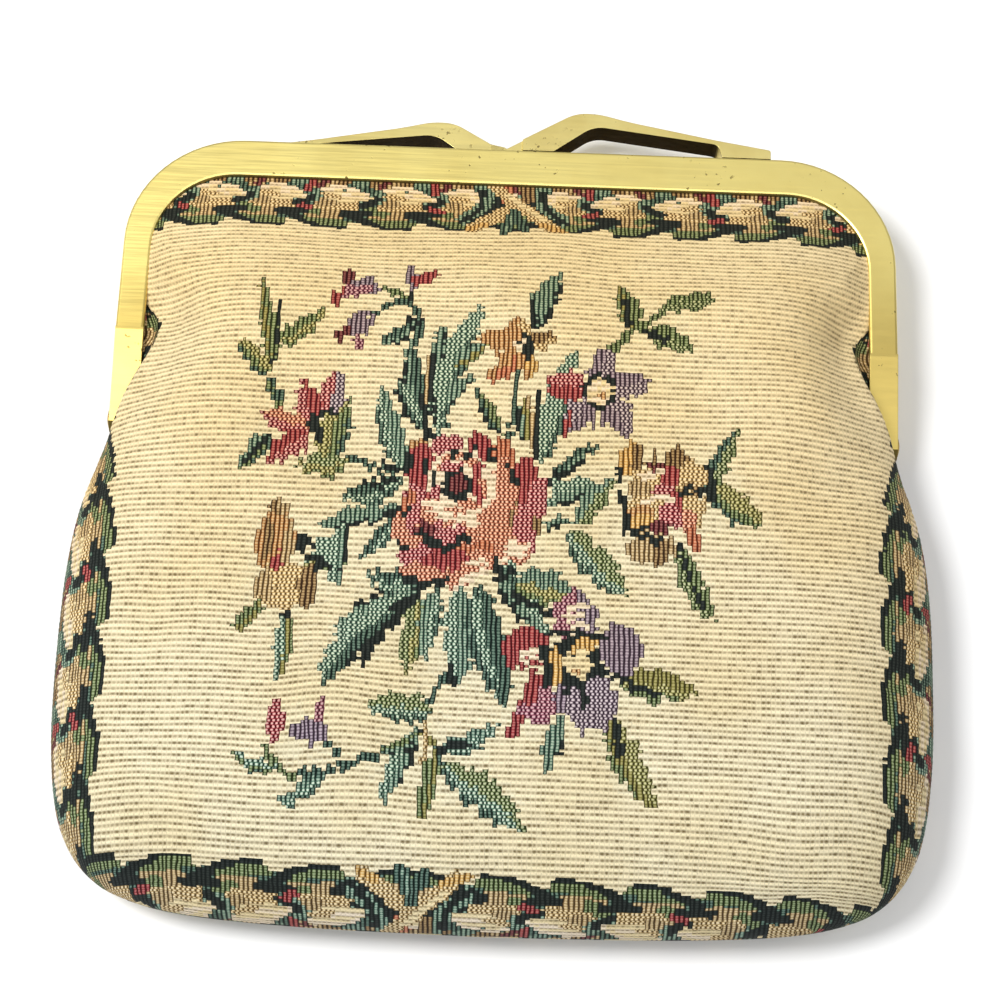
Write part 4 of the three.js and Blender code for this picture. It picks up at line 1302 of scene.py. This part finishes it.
def round_shading():
    group = bpy.data.node_groups.new("round_shading", "GeometryNodeTree")
    group.interface.new_socket("Geometry", in_out="INPUT", socket_type="NodeSocketGeometry")
    group.interface.new_socket("Geometry", in_out="OUTPUT", socket_type="NodeSocketGeometry")
    nodes, links = group.nodes, group.links
    start, end = nodes.new("NodeGroupInput"), nodes.new("NodeGroupOutput")
    faces = nodes.new("GeometryNodeSetShadeSmooth")
    edges = nodes.new("GeometryNodeSetShadeSmooth")
    edges.domain = "EDGE"
    edges.inputs["Shade Smooth"].default_value = False
    angle = nodes.new("GeometryNodeInputMeshEdgeAngle")
    sharp = nodes.new("FunctionNodeCompare")
    sharp.operation = "GREATER_THAN"
    sharp.inputs["B"].default_value = SHARP
    links.new(angle.outputs["Unsigned Angle"], sharp.inputs["A"])
    links.new(start.outputs[0], faces.inputs["Geometry"])
    links.new(faces.outputs["Geometry"], edges.inputs["Geometry"])
    links.new(sharp.outputs["Result"], edges.inputs["Selection"])
    links.new(edges.outputs["Geometry"], end.inputs[0])
    return group


def finish_nodes(names, material):
    """Gives built solids a material and rounded shading."""
    for name in names:
        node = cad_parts[name]
        node.data.materials.clear()
        node.data.materials.append(material)
        smoothed(node)


finish_nodes(["front_frame", "back_frame"], brass_material(
    "satin_brass", bright=(0.96, 0.81, 0.29, 1), shaded=(0.9, 0.74, 0.25, 1),
    roughness=0.38, under=0.75, pitted=0.66,
))
finish_nodes(["front_bow", "back_bow"], brass_material(
    "worn_brass", bright=(0.95, 0.81, 0.32, 1), shaded=(0.84, 0.68, 0.24, 1),
    roughness=0.36, under=1.0, pitted=0.61,
))
finish_nodes([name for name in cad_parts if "rivet" in name], brass_material(
    "rivet_brass", bright=(0.62, 0.47, 0.18, 1), shaded=(0.4, 0.3, 0.1, 1),
    roughness=0.42, under=0.0, pitted=0.66,
))

# The two panels of the bag, with the flat size of each in metres
PANELS = table("side shape facing flat area", [
    ("front", (front_height, front_edge_height, FRONT_EDGE), 1, (0.193, 0.173), 0.0301),
    ("back", (back_height, back_edge_height, BACK_EDGE), -1, (0.1866, 0.167), 0.0279),
])
chart = tapestry_chart()
weave = tapestry_material()
for row in PANELS:
    side = row["side"]
    sheet = panel(side + "_tapestry", row["shape"], row["facing"], chart)
    sheet.data.materials.append(weave)
    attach(sheet, "root")
    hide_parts(side + "_panel")

# Stage, in metres

FLOOR_HALF = 6.0
FLOOR_SINK = 0.0001
WORLD_LIGHT = 0.42
LIGHTS = table("name place target size power", [
    ("key", (-0.5, 0.05, 0.85), (0, 0, 0), 0.4, 9.0),
    ("fill", (0.4, -0.3, 0.9), (0, 0, 0), 0.9, 3.5),
    ("glow", (0.22, 0.61, 1.0), (0, 0.075, 0), 0.7, 0.42),
])


def studio_floor():
    half = FLOOR_HALF
    mesh = bpy.data.meshes.new("studio_floor")
    corners = [(-half, -half, 0), (half, -half, 0), (half, half, 0), (-half, half, 0)]
    mesh.from_pydata(corners, [], [(0, 1, 2, 3)])
    floor = bpy.data.objects.new("studio_floor", mesh)
    floor.location.z = -FLOOR_SINK
    mesh.materials.append(floor_material())
    bpy.context.collection.objects.link(floor)


def soft_light(name, place, target, size, power):
    light = bpy.data.lights.new(name, "AREA")
    light.shape = "DISK"
    light.size = size
    light.energy = power
    lamp = bpy.data.objects.new(name, light)
    lamp.location = place
    lamp.rotation_euler = (Vector(target) - Vector(place)).to_track_quat("-Z", "Y").to_euler()
    bpy.context.collection.objects.link(lamp)


def studio_light():
    world = bpy.data.worlds.new("studio")
    world.use_nodes = True
    world.node_tree.nodes["Background"].inputs["Color"].default_value = (1, 1, 1, 1)
    world.node_tree.nodes["Background"].inputs["Strength"].default_value = WORLD_LIGHT
    bpy.context.scene.world = world
    for row in LIGHTS:
        soft_light(**row)
    bpy.context.scene.view_settings.view_transform = "Standard"


# The photo's view: a long lens and its film width, and where the camera stands, in the part's millimetres
LENS = 90
FILM = 36
CLIP_START = 0.01
VIEW_TILT = np.radians(20)
VIEW_ROLL = np.radians(2.1)
VIEW_DISTANCE = 500.0
VIEW_RAISE = 5.2
AIM = np.array([0.0, -6.25, 13.05])


def photo_camera():
    """Looks down on the purse, tilted back from straight above and slightly rolled."""
    back = np.array([0, -np.sin(VIEW_TILT), np.cos(VIEW_TILT)])
    level = np.array([1.0, 0, 0])
    rise = np.array([0, np.cos(VIEW_TILT), np.sin(VIEW_TILT)])
    right = level * np.cos(VIEW_ROLL) + rise * np.sin(VIEW_ROLL)
    up = rise * np.cos(VIEW_ROLL) - level * np.sin(VIEW_ROLL)
    place = (AIM + back * VIEW_DISTANCE + up * VIEW_RAISE) * MM
    data = bpy.data.cameras.new("photo_view")
    data.lens = LENS
    data.sensor_width = FILM
    data.clip_start = CLIP_START
    camera = bpy.data.objects.new("photo_view", data)
    turned = Matrix((right, up, back)).transposed().to_4x4()
    camera.matrix_world = Matrix.Translation(place) @ turned
    bpy.context.collection.objects.link(camera)
    bpy.context.scene.camera = camera


studio_floor()
studio_light()
photo_camera()
